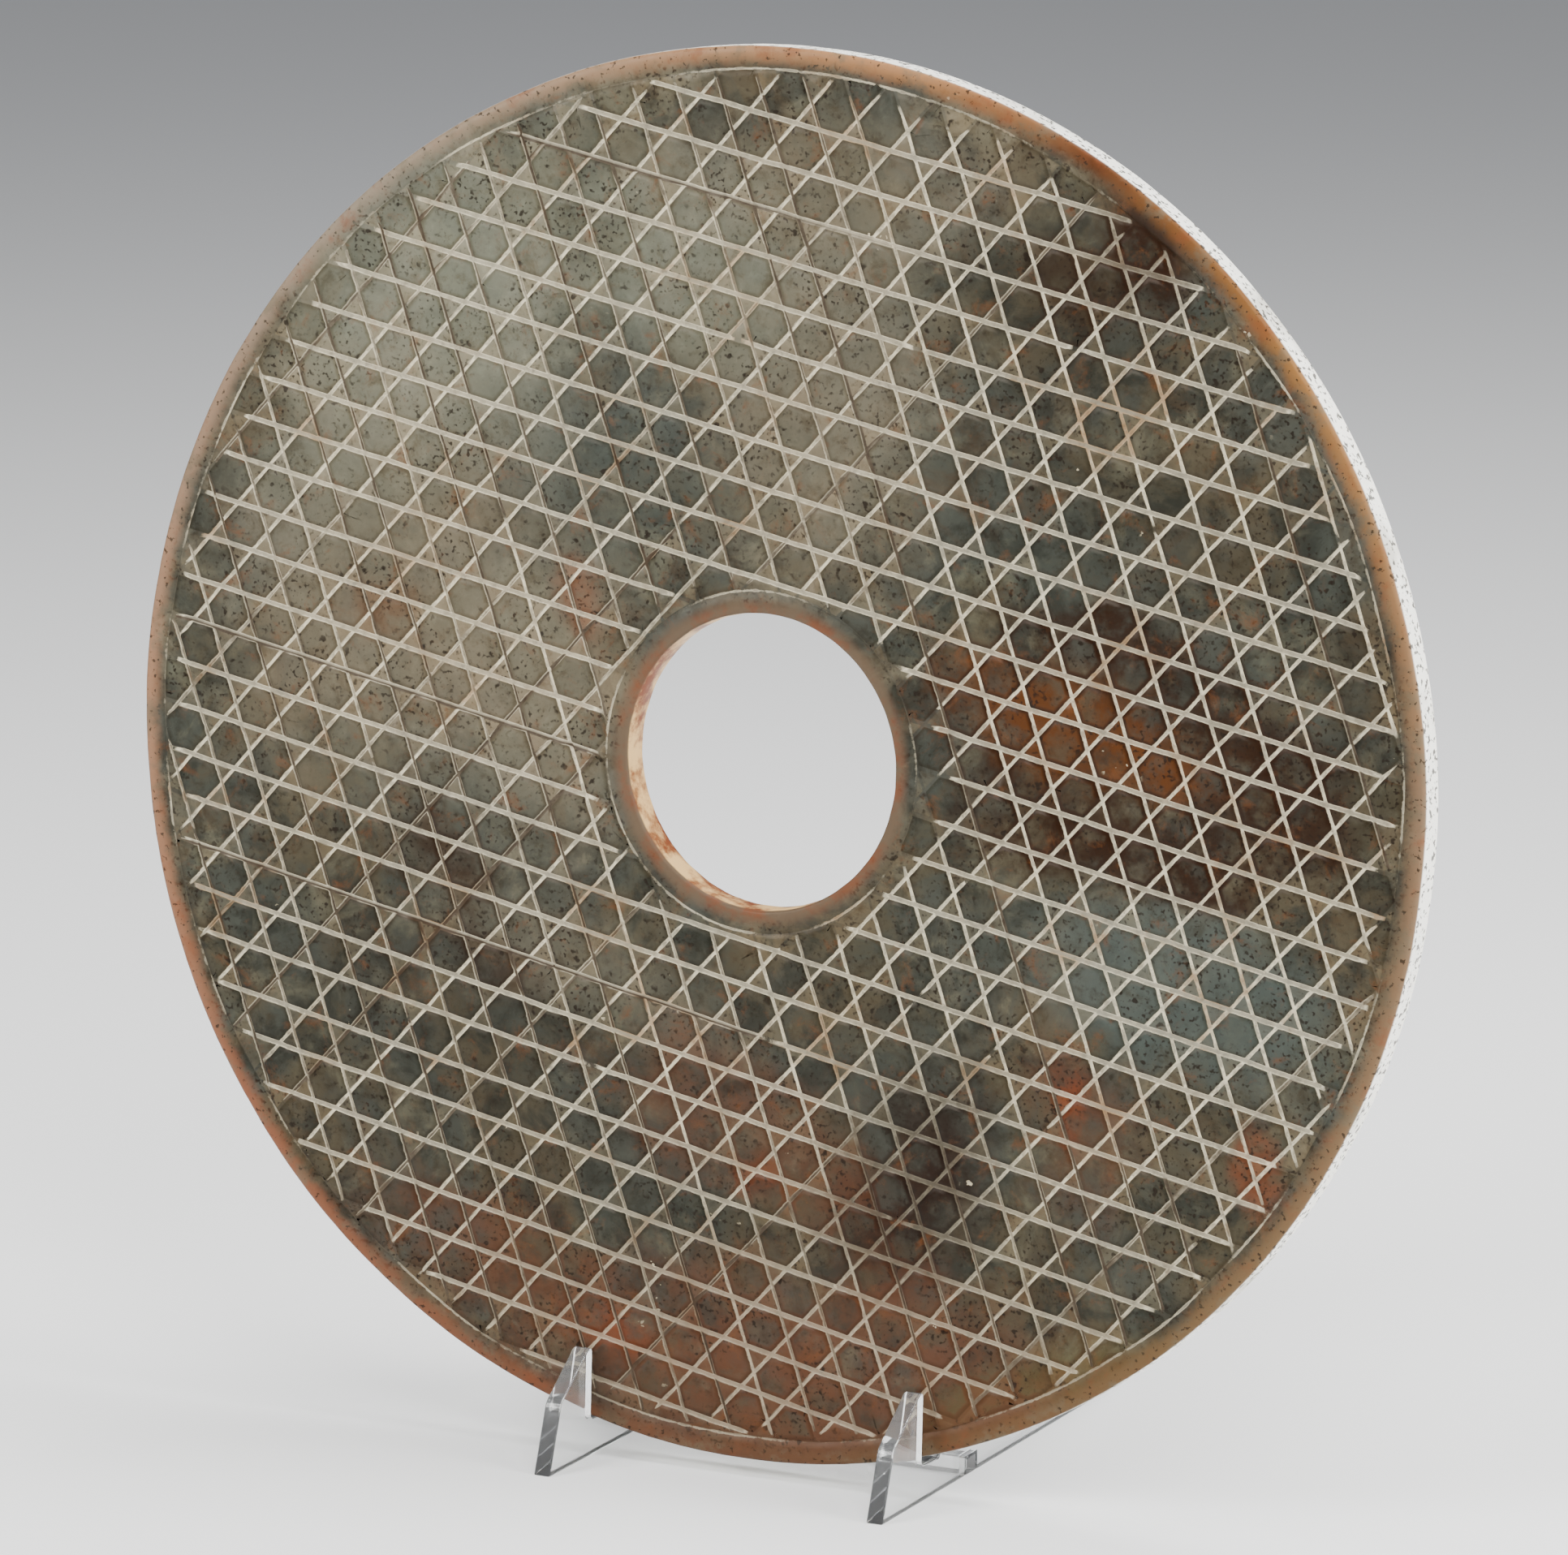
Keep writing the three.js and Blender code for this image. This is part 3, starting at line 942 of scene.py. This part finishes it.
@dataclass
class JadeDisc:
    """The jade disc: turned body, rings, engraved face and plainer back. Sizes in metres."""

    radius: float = DISC_RADIUS
    thickness: float = DISC_THICKNESS
    bore_radius: float = 27.4 * MM
    bore_chamfer: float = 0.5 * MM
    bore_slope: float = 0.2 * MM
    bore_waist: float = 0.15 * MM
    shoulder: float = 0.8 * MM
    border_ring: float = 126.1 * MM
    bore_ring: float = 31.6 * MM
    ring_width: float = 0.7 * MM
    ring_floor: float = 0.08 * MM
    ring_depth: float = 0.28 * MM
    edge_break: float = 0.07 * MM
    boss_inset: float = 1.2 * MM
    boss_rise: float = 0.05 * MM
    boss_girth: float = 1.9 * MM
    crease_deg: float = 55.0
    steps: int = 360
    sectors: int = 8
    # How strokes stop at the rings: a bare patch beside the bore, then gaps drawn by hand.
    bare_depth: float = 4.2 * MM
    bare_towards: float = 0.16
    bare_spread_deg: float = 24.0
    bore_gap: tuple[float, float] = (0.1, 2.4)
    border_gaps: tuple[float, ...] = (0.15, 0.3, 0.8, 1.6, 2.4)
    shortest_half: float = 9.0 * MM
    # How each stroke is drawn.
    broken_share: float = 0.22
    broken_between: tuple[float, float] = (0.25, 0.75)
    break_half: float = 0.25 * MM
    fades: tuple[float, float] = (1.2, 4.0)
    depth_shares: tuple[float, float] = (0.8, 1.1)
    heavy_dirt: tuple[float, float] = (0.6, 1.0)
    light_dirt: tuple[float, float] = (0.0, 0.2)
    # Strengths of the painted shade on one wall of a shaded stroke.
    shades: tuple[float, float] = (0.35, 0.95)
    # How far the hand strays.
    slow_waves: float = 45.0
    quick_waves: float = 380.0
    tremor_waves: float = 300.0
    ring_stray: float = 0.55 * MM
    ring_stray_reach: float = 1.6 * MM
    quick_stray: float = 0.08 * MM
    rim_zone: float = 1.5 * MM
    rim_stray: float = 0.16 * MM
    rim_roughness: float = 0.05 * MM
    tremor: float = 0.13 * MM
    unevenness: float = 0.02 * MM
    rng: random.Random = field(default_factory=lambda: random.Random(7))

    @property
    def field_outer(self) -> float:
        """Radius where the engraved field meets the border ring's groove."""
        return self.border_ring - self.ring_width / 2

    @property
    def field_inner(self) -> float:
        """Radius where the engraved field meets the bore ring's groove."""
        return self.bore_ring + self.ring_width / 2

    def build(self) -> bpy.types.Object:
        """Builds the whole disc.

        Returns:
            The finished piece.
        """
        bm = bmesh.new()
        cut = bm.verts.layers.float_color.new("engraving")
        self._turn_body(bm)
        for vert in bm.verts:
            vert[cut] = UNCUT
        front = self._lay_field(bm)
        strokes = self._plan_strokes()
        pattern = self._score(bm, front, strokes)
        self._round_bosses(bm, cut, pattern)
        self._sink(bm, cut, strokes)
        self._mark_rings(bm, cut)
        self._hand_finish(bm)
        bmesh.ops.remove_doubles(bm, verts=bm.verts[:], dist=SAME_PLACE)
        bmesh.ops.triangulate(bm, faces=[face for face in bm.faces if len(face.verts) > 4])
        bmesh.ops.recalc_face_normals(bm, faces=bm.faces[:])
        for face in bm.faces:
            face.smooth = True
        crease = math.radians(self.crease_deg)
        for edge in bm.edges:
            if len(edge.link_faces) == 2 and edge.calc_face_angle() > crease:
                edge.smooth = False
        bm.transform(DISC_PLACE)
        piece = finish_piece(bm, "engraved_jade_disc", "jade_disc", JadeFinish().build())
        LOG.info("engraved disc: %d faces, %d strokes", len(piece.data.polygons), len(strokes))
        return piece

    def _profile(self) -> list[tuple[float, float]]:
        """Draws the section from the field's inner edge, round the back, to its outer edge.

        Returns:
            Radius and height of each point of the section.
        """
        inner, outer, half = self.bore_ring, self.border_ring, self.ring_width / 2
        chamfer, shoulder, wide = self.bore_chamfer, self.shoulder, self.radius
        bore, floor, sunk = self.bore_radius, self.ring_floor, -self.ring_depth
        front_bore = [
            (inner + half, 0.0),
            (inner + floor, sunk),
            (inner - floor, sunk),
            (inner - half, 0.0),
            (bore + 2.4 * chamfer, 0.0),
            (bore + chamfer, -0.12 * chamfer),
            (bore + 0.3 * chamfer, -0.4 * chamfer),
            (bore, -chamfer - self.bore_slope),
            (bore - self.bore_waist, -0.5 * self.thickness),
        ]
        front_rim = [
            (wide, -2.2 * shoulder),
            (wide - 0.06 * shoulder, -shoulder),
            (wide - 0.3 * shoulder, -0.34 * shoulder),
            (wide - shoulder, -0.06 * shoulder),
            (wide - 1.8 * shoulder, 0.0),
            (outer + half, 0.0),
            (outer + floor, sunk),
            (outer - floor, sunk),
            (outer - half, 0.0),
        ]
        back_bore = [(r, -self.thickness - z) for r, z in reversed(front_bore[:-1])]
        back_rim = [(r, -self.thickness - z) for r, z in reversed(front_rim)]
        return front_bore + back_bore + back_rim + front_rim

    def _turn_body(self, bm: bmesh.types.BMesh) -> None:
        """Spins the section into everything but the engraved field.

        Args:
            bm: the disc's mesh.
        """
        points = [bm.verts.new((r, 0.0, z)) for r, z in self._profile()]
        edges = [bm.edges.new(pair) for pair in zip(points, points[1:])]
        bmesh.ops.spin(
            bm,
            geom=points + edges,
            cent=(0, 0, 0),
            axis=(0, 0, 1),
            dvec=(0, 0, 0),
            angle=2 * math.pi,
            steps=self.steps,
            use_merge=True,
            use_duplicate=False,
        )

    def _lay_field(self, bm: bmesh.types.BMesh) -> list[bmesh.types.BMFace]:
        """Closes the gap between the two rings with a few large flat faces.

        Args:
            bm: the disc's mesh.

        Returns:
            The new faces.
        """
        rims = [e for e in bm.edges if e.is_boundary and abs(e.verts[0].co.z) < SAME_PLACE]
        bridged = bmesh.ops.bridge_loops(bm, edges=rims)
        spokes = []
        for edge in bridged["edges"]:
            first, second = edge.verts
            if abs(first.co.xy.length - second.co.xy.length) < 1 * MM:
                continue
            step = round(math.degrees(math.atan2(first.co.y, first.co.x)) * self.steps / 360)
            if step % (self.steps // self.sectors):
                spokes.append(edge)
        bmesh.ops.dissolve_edges(bm, edges=spokes, use_verts=False)
        return self._field_faces(bm)

    def _stops(self, angle: float) -> tuple[float, float]:
        """Finds where grooves stop short of the two rings in a direction.

        Args:
            angle: direction from the disc's right, in radians.

        Returns:
            The radius of the inner and of the outer stop.
        """
        turn = angle - self.bare_towards
        from_bare = math.degrees(math.atan2(math.sin(turn), math.cos(turn)))
        bare = self.bare_depth * math.exp(-((from_bare / self.bare_spread_deg) ** 2))
        inner = self.field_inner + bare + self.rng.uniform(*self.bore_gap) * MM
        outer = self.field_outer - self.rng.choice(self.border_gaps) * MM
        return inner, outer

    def _plan_strokes(self) -> list[Stroke]:
        """Plans every cut across the face.

        Returns:
            The strokes, broken round the bore and here and there along their way.
        """
        strokes = []
        for groove_set in GROOVE_SETS:
            for index in range(-LINES_EACH_WAY, LINES_EACH_WAY + 1):
                strokes += self._strokes_of_line(groove_set, groove_set.offset(index))
        return strokes

    def _strokes_of_line(self, groove_set: GrooveSet, offset: float) -> list[Stroke]:
        """Plans the strokes that make up one line.

        Args:
            groove_set: the line's set.
            offset: the line's distance from the disc's axis.

        Returns:
            The strokes, or none where the line misses the field.
        """
        outer_stop = self.field_outer - 2.6 * MM
        if abs(offset) > outer_stop:
            return []
        half = math.sqrt(outer_stop**2 - offset**2)
        if half < self.shortest_half:
            return []
        ends = [self._end_on_ring(groove_set, offset, sign, False) for sign in (-1, 1)]
        if abs(offset) < self.field_inner + 0.5 * MM:
            inner = [self._end_on_ring(groove_set, offset, sign, True) for sign in (-1, 1)]
            spans = [(ends[0], inner[0]), (inner[1], ends[1])]
        elif self.rng.random() < self.broken_share:
            place = self.rng.uniform(*self.broken_between)
            middle = ends[0] + (ends[1] - ends[0]) * place
            spans = [(ends[0], middle - self.break_half), (middle + self.break_half, ends[1])]
        else:
            spans = [(ends[0], ends[1])]
        dirty = self.rng.random() < groove_set.dirty_share
        return [self._stroke(groove_set, offset, span, dirty) for span in spans]

    def _end_on_ring(
        self, groove_set: GrooveSet, offset: float, sign: int, at_bore: bool
    ) -> float:
        """Finds where a line stops near one of the rings.

        Args:
            groove_set: the line's set.
            offset: the line's distance from the disc's axis.
            sign: which way along the line, 1 or -1.
            at_bore: whether it is the bore ring and not the border ring.

        Returns:
            The place along the line.
        """
        rough = self.field_inner if at_bore else self.field_outer
        along = sign * math.sqrt(max(0.0, rough**2 - offset**2))
        spot = groove_set.across * offset + groove_set.along * along
        inner, outer = self._stops(math.atan2(spot.y, spot.x))
        stop = inner if at_bore else outer
        return sign * math.sqrt(max(0.0, stop**2 - offset**2))

    def _stroke(
        self, groove_set: GrooveSet, offset: float, span: tuple[float, float], dirty: bool
    ) -> Stroke:
        """Draws one stroke's fades, depth and dirt.

        Args:
            groove_set: the line's set.
            offset: the line's distance from the disc's axis.
            span: where the stroke starts and ends along the line.
            dirty: whether its groove is full of dirt.

        Returns:
            The stroke.
        """
        uniform = self.rng.uniform
        return Stroke(
            groove_set,
            offset,
            span[0],
            span[1],
            uniform(*self.fades) * MM,
            uniform(*self.fades) * MM,
            uniform(*self.depth_shares),
            uniform(*self.heavy_dirt) if dirty else uniform(*self.light_dirt),
            uniform(*self.shades) if self.rng.random() < groove_set.shaded_share else 0.0,
        )

    def _score(
        self, bm: bmesh.types.BMesh, faces: list[bmesh.types.BMFace], strokes: list[Stroke]
    ) -> list[bmesh.types.BMFace]:
        """Cuts the field along the edges and floor edges of every groove, and across its ends.

        Args:
            bm: the disc's mesh.
            faces: the field's faces.
            strokes: the planned strokes.

        Returns:
            The field's faces after the cuts.
        """
        geom = geometry_of(faces)
        seen = set()
        for stroke in strokes:
            groove = stroke.groove_set
            for half in (groove.width / 2, groove.floor / 2):
                for side in (-half, half):
                    line = stroke.offset + side
                    key = (groove.seed, round(line / (0.01 * MM)))
                    if key not in seen:
                        seen.add(key)
                        geom = self._slice(bm, geom, groove.across * line, groove.across)
        cuts = [item for item in geom if isinstance(item, bmesh.types.BMFace)]
        self._score_ends(bm, cuts, strokes)
        bmesh.ops.dissolve_edges(bm, edges=self._seams(bm), use_verts=False)
        return self._field_faces(bm)

    def _seams(self, bm: bmesh.types.BMesh) -> list[bmesh.types.BMEdge]:
        """Finds what is left of the seams between the field's first large faces.

        Args:
            bm: the disc's mesh.

        Returns:
            The seams' edges away from the grooves.
        """
        found = []
        for edge in bm.edges:
            if len(edge.link_faces) != 2 or max(abs(v.co.z) for v in edge.verts) > IN_PLANE:
                continue
            spans = [v.co.xy.length for v in edge.verts]
            low, high = self.field_inner - SAME_PLACE, self.field_outer + SAME_PLACE
            if min(spans) < low or max(spans) > high:
                continue
            share = self.sectors / (2 * math.pi)
            turns = [math.atan2(v.co.y, v.co.x) * share for v in edge.verts]
            on_seam = all(abs(turn - round(turn)) < 1e-4 for turn in turns)
            if on_seam and abs(turns[0] - turns[1]) < 1e-3:
                if not any(self._in_any_groove(face) for face in edge.link_faces):
                    found.append(edge)
        return found

    @staticmethod
    def _slice(bm: bmesh.types.BMesh, geom: list, point: Vector, normal: Vector) -> list:
        """Makes one plane cut through some geometry.

        Args:
            bm: the mesh.
            geom: the faces, edges and corners to cut.
            point: a point of the plane.
            normal: the plane's normal.

        Returns:
            The geometry after the cut.
        """
        done = bmesh.ops.bisect_plane(
            bm, geom=geom, dist=IN_PLANE, plane_co=point, plane_no=normal
        )
        return done["geom"]

    def _score_ends(
        self, bm: bmesh.types.BMesh, faces: list[bmesh.types.BMFace], strokes: list[Stroke]
    ) -> None:
        """Adds short cross cuts where each stroke starts, comes to depth and ends.

        Args:
            bm: the disc's mesh.
            faces: the field's faces.
            strokes: the planned strokes.
        """
        cell = 6 * MM
        grid: dict[tuple[int, int], list[bmesh.types.BMFace]] = {}
        for face in faces:
            middle = face.calc_center_median()
            grid.setdefault((int(middle.x // cell), int(middle.y // cell)), []).append(face)
        for stroke in strokes:
            groove = stroke.groove_set
            for place, fade in (
                (stroke.start, stroke.fade_start),
                (stroke.end, -stroke.fade_end),
            ):
                spot = groove.across * stroke.offset + groove.along * (place + fade / 2)
                column, row = int(spot.x // cell), int(spot.y // cell)
                near = [
                    face
                    for dx in (-1, 0, 1)
                    for dy in (-1, 0, 1)
                    for face in grid.get((column + dx, row + dy), ())
                    if face.is_valid and self._in_strip(face, stroke)
                ]
                geom = geometry_of(near)
                for share in (0.0, 1.0):
                    point = groove.along * (place + share * fade)
                    if geom:
                        geom = self._slice(bm, geom, point, groove.along)

    @staticmethod
    def _in_strip(face: bmesh.types.BMFace, stroke: Stroke) -> bool:
        """Whether a face lies in the strip that a stroke sinks."""
        away = face.calc_center_median().dot(stroke.groove_set.across) - stroke.offset
        return abs(away) < stroke.groove_set.width / 2

    def _field_faces(self, bm: bmesh.types.BMesh) -> list[bmesh.types.BMFace]:
        """Finds the flat faces of the engraved field.

        Args:
            bm: the disc's mesh.

        Returns:
            The faces.
        """
        found = []
        for face in bm.faces:
            middle = face.calc_center_median()
            between = self.field_inner < middle.xy.length < self.field_outer
            if between and all(abs(v.co.z) < IN_PLANE for v in face.verts):
                found.append(face)
        return found

    def _round_bosses(
        self,
        bm: bmesh.types.BMesh,
        cut: bmesh.types.BMLayerItem,
        faces: list[bmesh.types.BMFace],
    ) -> None:
        """Insets each boss, so that its edge can fall away and its middle stand a little proud.

        Args:
            bm: the disc's mesh.
            cut: the layer that tells the finish about the engraving.
            faces: the field's faces.
        """
        plateaus = [face for face in faces if not self._in_any_groove(face)]
        bosses = [f for f in plateaus if 2 * f.calc_area() > self.boss_girth * f.calc_perimeter()]
        for group, lowness in ((plateaus, GROUND), (bosses, BOSS_EDGE)):
            for face in group:
                for vert in face.verts:
                    vert[cut] = (0.0, 0.0, 0.0, lowness)
        bmesh.ops.inset_individual(bm, faces=bosses, thickness=self.boss_inset, depth=0.0)
        for face in bosses:
            for vert in face.verts:
                vert[cut] = (0.0, 0.0, 0.0, BOSS_TOP)
        for vert in bmesh.ops.poke(bm, faces=bosses)["verts"]:
            vert.co.z = self.boss_rise

    @staticmethod
    def _in_any_groove(face: bmesh.types.BMFace) -> bool:
        """Whether a face's middle lies between the edges of some groove's line.

        Args:
            face: the face.

        Returns:
            True where it does.
        """
        middle = face.calc_center_median()
        for groove in GROOVE_SETS:
            away = middle.dot(groove.across)
            index = round(away / groove.pitch - groove.phase)
            for near in (index - 1, index, index + 1):
                if abs(away - groove.offset(near)) < groove.width / 2:
                    return True
        return False

    def _sink(
        self, bm: bmesh.types.BMesh, cut: bmesh.types.BMLayerItem, strokes: list[Stroke]
    ) -> None:
        """Lowers every point of the field to the depth of the strokes that pass over it.

        Args:
            bm: the disc's mesh.
            cut: the layer that tells the finish about the engraving.
            strokes: the planned strokes.
        """
        by_line: dict[tuple[int, int], list[Stroke]] = {}
        for stroke in strokes:
            groove = stroke.groove_set
            index = round((stroke.offset / groove.pitch) - groove.phase)
            by_line.setdefault((groove.seed, index), []).append(stroke)
        for vert in bm.verts:
            span = vert.co.xy.length
            on_face = abs(vert.co.z) <= self.boss_rise + 0.01 * MM
            if not on_face or not self.field_inner < span < self.field_outer:
                continue
            drop, tint = self._cut_at(vert.co, by_line)
            vert[cut] = (*tint, vert[cut][3])
            if drop > 0:
                vert.co.z = min(vert.co.z, 0.0) - drop

    def _cut_at(
        self, spot: Vector, by_line: dict[tuple[int, int], list[Stroke]]
    ) -> tuple[float, tuple[float, float, float]]:
        """Finds the depth and the colouring of the engraving at a point of the face.

        The most open cut gives the colouring. At a cut's edge its dirt and painted wall shade
        give way to darker.

        Args:
            spot: the point in the disc's frame.
            by_line: strokes by set and line index.

        Returns:
            How far the point is sunk, and its openness, dirt with painted wall shade, and greyness
            as a colour.
        """
        drop, tint = 0.0, (0.0, 0.0, 0.0)
        shade_reach = wall_shade_reach_at(spot)
        for groove in GROOVE_SETS:
            away = spot.dot(groove.across)
            place = spot.dot(groove.along)
            index = round(away / groove.pitch - groove.phase)
            for near in (index - 1, index, index + 1):
                for stroke in by_line.get((groove.seed, near), ()):
                    share = self._section(abs(away - stroke.offset), groove)
                    if share is None:
                        continue
                    reach = stroke.reach(place)
                    full = self.edge_break + share * groove.depth * stroke.depth_share
                    if share * reach >= tint[0]:
                        # The stroke's dirt together with painted shade on its shaded wall.
                        dirt = stroke.dirt_and_wall_shade(away - stroke.offset, shade_reach)
                        if share * reach == 0:
                            dirt = max(dirt, tint[1])
                        tint = (share * reach, dirt, groove.greyness)
                    drop = max(drop, reach * full)
        return drop, tint

    @staticmethod
    def _section(away: float, groove: GrooveSet) -> float | None:
        """Finds the share of the full depth across a groove.

        Args:
            away: distance from the groove's middle.
            groove: the groove's set.

        Returns:
            The share from 0 to 1, or nothing outside the groove.
        """
        slack = 0.02 * MM
        if away > groove.width / 2 + slack:
            return None
        if away <= groove.floor / 2 + slack:
            return 1.0
        return max(0.0, (groove.width / 2 - away) / (groove.width / 2 - groove.floor / 2))

    def _mark_rings(self, bm: bmesh.types.BMesh, cut: bmesh.types.BMLayerItem) -> None:
        """Colours the two ring grooves, front and back.

        Args:
            bm: the disc's mesh.
            cut: the layer that tells the finish about the engraving.
        """
        for vert in bm.verts:
            span, height = vert.co.xy.length, vert.co.z
            from_ring = min(abs(span - self.border_ring), abs(span - self.bore_ring))
            from_front = abs(height + self.ring_depth)
            from_back = abs(height + self.thickness - self.ring_depth)
            if from_ring < 0.2 * MM and min(from_front, from_back) < SAME_PLACE:
                faint = 0.3 + 0.9 * noise.noise(vert.co * 60.0)
                vert[cut] = (min(0.6, max(0.05, faint)), 0.35, 0.6, UNCUT[3])

    def _hand_finish(self, bm: bmesh.types.BMesh) -> None:
        """Lets the rings, the rim and the grooves stray a little, as cut and worn by hand.

        Args:
            bm: the disc's mesh.
        """
        for vert in bm.verts:
            span = vert.co.xy.length
            if span < SAME_PLACE:
                continue
            slow = noise.noise(vert.co * self.slow_waves)
            quick = noise.noise(vert.co * self.quick_waves + Vector((7.0, 3.0, 1.0)))
            near_ring = math.exp(-(((span - self.border_ring) / self.ring_stray_reach) ** 2))
            outward = self.ring_stray * near_ring * slow + self.quick_stray * quick
            if span > self.radius - self.rim_zone:
                worn = self.rim_stray * (slow - 0.3) + self.rim_roughness * quick
                outward = min(0.0, worn)
            vert.co.xy *= (span + outward) / span
            if self.field_inner < span < self.field_outer:
                tremor = noise.noise_vector(vert.co * self.tremor_waves)
                vert.co.x += self.tremor * tremor.x
                vert.co.y += self.tremor * tremor.y
            vert.co.z += self.unevenness * quick


@dataclass
class ClearEasel:
    """The clear easel: two side plates and their cross bar, with polished edges."""

    edge_radius: float = 0.25 * MM
    edge_segments: int = 2
    flat_deg: float = 1.0
    sharp_deg: float = 40.0
    merge_within: float = 0.002 * MM
    nodes: tuple[str, ...] = ("easel_left_side", "easel_right_side", "easel_cross_bar")

    def build(self) -> list[bpy.types.Object]:
        """Builds the easel's pieces.

        Returns:
            The finished pieces.
        """
        finish = AcrylicFinish().build()
        return [self._polished(node, finish) for node in self.nodes]

    def _polished(self, node: str, finish: bpy.types.Material) -> bpy.types.Object:
        """Makes a clean copy of a CAD solid with its edges eased.

        Args:
            node: the CAD node.
            finish: the piece's material.

        Returns:
            The finished piece.
        """
        bm = bmesh.new()
        bm.from_mesh(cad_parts[node].data)
        bmesh.ops.remove_doubles(bm, verts=bm.verts[:], dist=self.merge_within)
        bmesh.ops.dissolve_limit(
            bm,
            angle_limit=math.radians(self.flat_deg),
            verts=bm.verts[:],
            edges=bm.edges[:],
            use_dissolve_boundaries=False,
        )
        corner = math.radians(self.sharp_deg)
        sharp = [e for e in bm.edges if len(e.link_faces) == 2 and e.calc_face_angle() > corner]
        bmesh.ops.bevel(
            bm,
            geom=sharp,
            offset=self.edge_radius,
            offset_type="OFFSET",
            affect="EDGES",
            segments=self.edge_segments,
            profile=0.5,
            material=-1,
            clamp_overlap=True,
        )
        for face in bm.faces:
            face.smooth = False
        piece = finish_piece(bm, node.replace("easel", "clear"), node, finish)
        LOG.info("%s: %d faces", piece.name, len(piece.data.polygons))
        return piece


# ---------------------------------------------------------------- studio


@dataclass(frozen=True)
class Lamp:
    """A soft rectangular light, aimed at the disc."""

    name: str
    azimuth_deg: float
    elevation_deg: float
    distance: float
    width: float
    height: float
    watts: float


@dataclass
class Studio:
    """Plain pale floor, soft lights and the camera."""

    azimuth_deg: float = 26.54
    elevation_deg: float = 11.49
    distance: float = 1.4433
    aim_right: float = 4.5 * MM
    aim_up: float = -2.66 * MM
    sensor: float = 36.0
    lens: float = 181.7
    far: float = 50.0
    floor_size: float = 8.0
    sky: tuple[float, float, float, float] = (0.9, 0.93, 1.0, 1.0)
    sky_strength: float = 0.26
    lamps: tuple[Lamp, ...] = (
        Lamp("key_left", -38.0, 30.0, 1.2, 0.5, 0.6, 15.0),
        Lamp("side_right", 96.0, 24.0, 1.0, 0.4, 0.9, 20.0),
        Lamp("front_right", 44.0, 40.0, 1.4, 0.6, 0.6, 12.0),
        Lamp("top", 150.0, 80.0, 1.1, 0.9, 0.9, 18.0),
    )

    def build(self) -> None:
        """Sets up the floor, the lamps, the camera and the world."""
        self._lay_floor()
        for lamp in self.lamps:
            self._hang(lamp)
        self._set_camera()
        world = bpy.data.worlds.new("studio")
        world.use_nodes = True
        background = world.node_tree.nodes["Background"]
        background.inputs["Color"].default_value = self.sky
        background.inputs["Strength"].default_value = self.sky_strength
        bpy.context.scene.world = world
        LOG.info("studio ready with %d lamps", len(self.lamps))

    def _lay_floor(self) -> None:
        """A large flat floor under the easel."""
        bm = bmesh.new()
        bmesh.ops.create_grid(bm, x_segments=1, y_segments=1, size=self.floor_size / 2)
        mesh = bpy.data.meshes.new("floor")
        bm.to_mesh(mesh)
        bm.free()
        floor = bpy.data.objects.new("floor", mesh)
        bpy.context.scene.collection.objects.link(floor)
        mesh.materials.append(FloorFinish().build())

    @staticmethod
    def _direction(azimuth_deg: float, elevation_deg: float) -> Vector:
        """Finds the way from the disc to a place round it.

        Args:
            azimuth_deg: 0 in front of the easel, then towards its right.
            elevation_deg: height above the level.

        Returns:
            The unit vector.
        """
        turn, rise = math.radians(azimuth_deg), math.radians(elevation_deg)
        level = math.cos(rise)
        return Vector((math.sin(turn) * level, -math.cos(turn) * level, math.sin(rise)))

    def _hang(self, lamp: Lamp) -> None:
        """Places one area light.

        Args:
            lamp: the light's place, size and strength.
        """
        light = bpy.data.lights.new(lamp.name, "AREA")
        light.shape = "RECTANGLE"
        light.size = lamp.width
        light.size_y = lamp.height
        light.energy = lamp.watts
        holder = bpy.data.objects.new(lamp.name, light)
        bpy.context.scene.collection.objects.link(holder)
        away = self._direction(lamp.azimuth_deg, lamp.elevation_deg)
        holder.location = FACE_CENTRE + away * lamp.distance
        holder.rotation_euler = away.to_track_quat("Z", "Y").to_euler()

    def _set_camera(self) -> None:
        """Stands the camera where the disc is seen from its right, a little above."""
        camera = bpy.data.cameras.new("camera")
        camera.sensor_fit = "HORIZONTAL"
        camera.sensor_width = self.sensor
        camera.lens = self.lens
        camera.clip_end = self.far
        holder = bpy.data.objects.new("camera", camera)
        bpy.context.scene.collection.objects.link(holder)
        away = self._direction(self.azimuth_deg, self.elevation_deg)
        turn = math.radians(self.azimuth_deg)
        right = Vector((math.cos(turn), math.sin(turn), 0.0))
        up = away.cross(right)
        aim = FACE_CENTRE + right * self.aim_right + up * self.aim_up
        place = Matrix((right, up, away)).transposed().to_4x4()
        holder.matrix_world = Matrix.Translation(aim + away * self.distance) @ place
        bpy.context.scene.camera = holder


def main() -> None:
    """Builds every piece in order."""
    logging.basicConfig(level=logging.INFO, format="%(name)s: %(message)s")
    Studio().build()
    JadeDisc().build()
    ClearEasel().build()


if __name__ == "__main__":
    main()
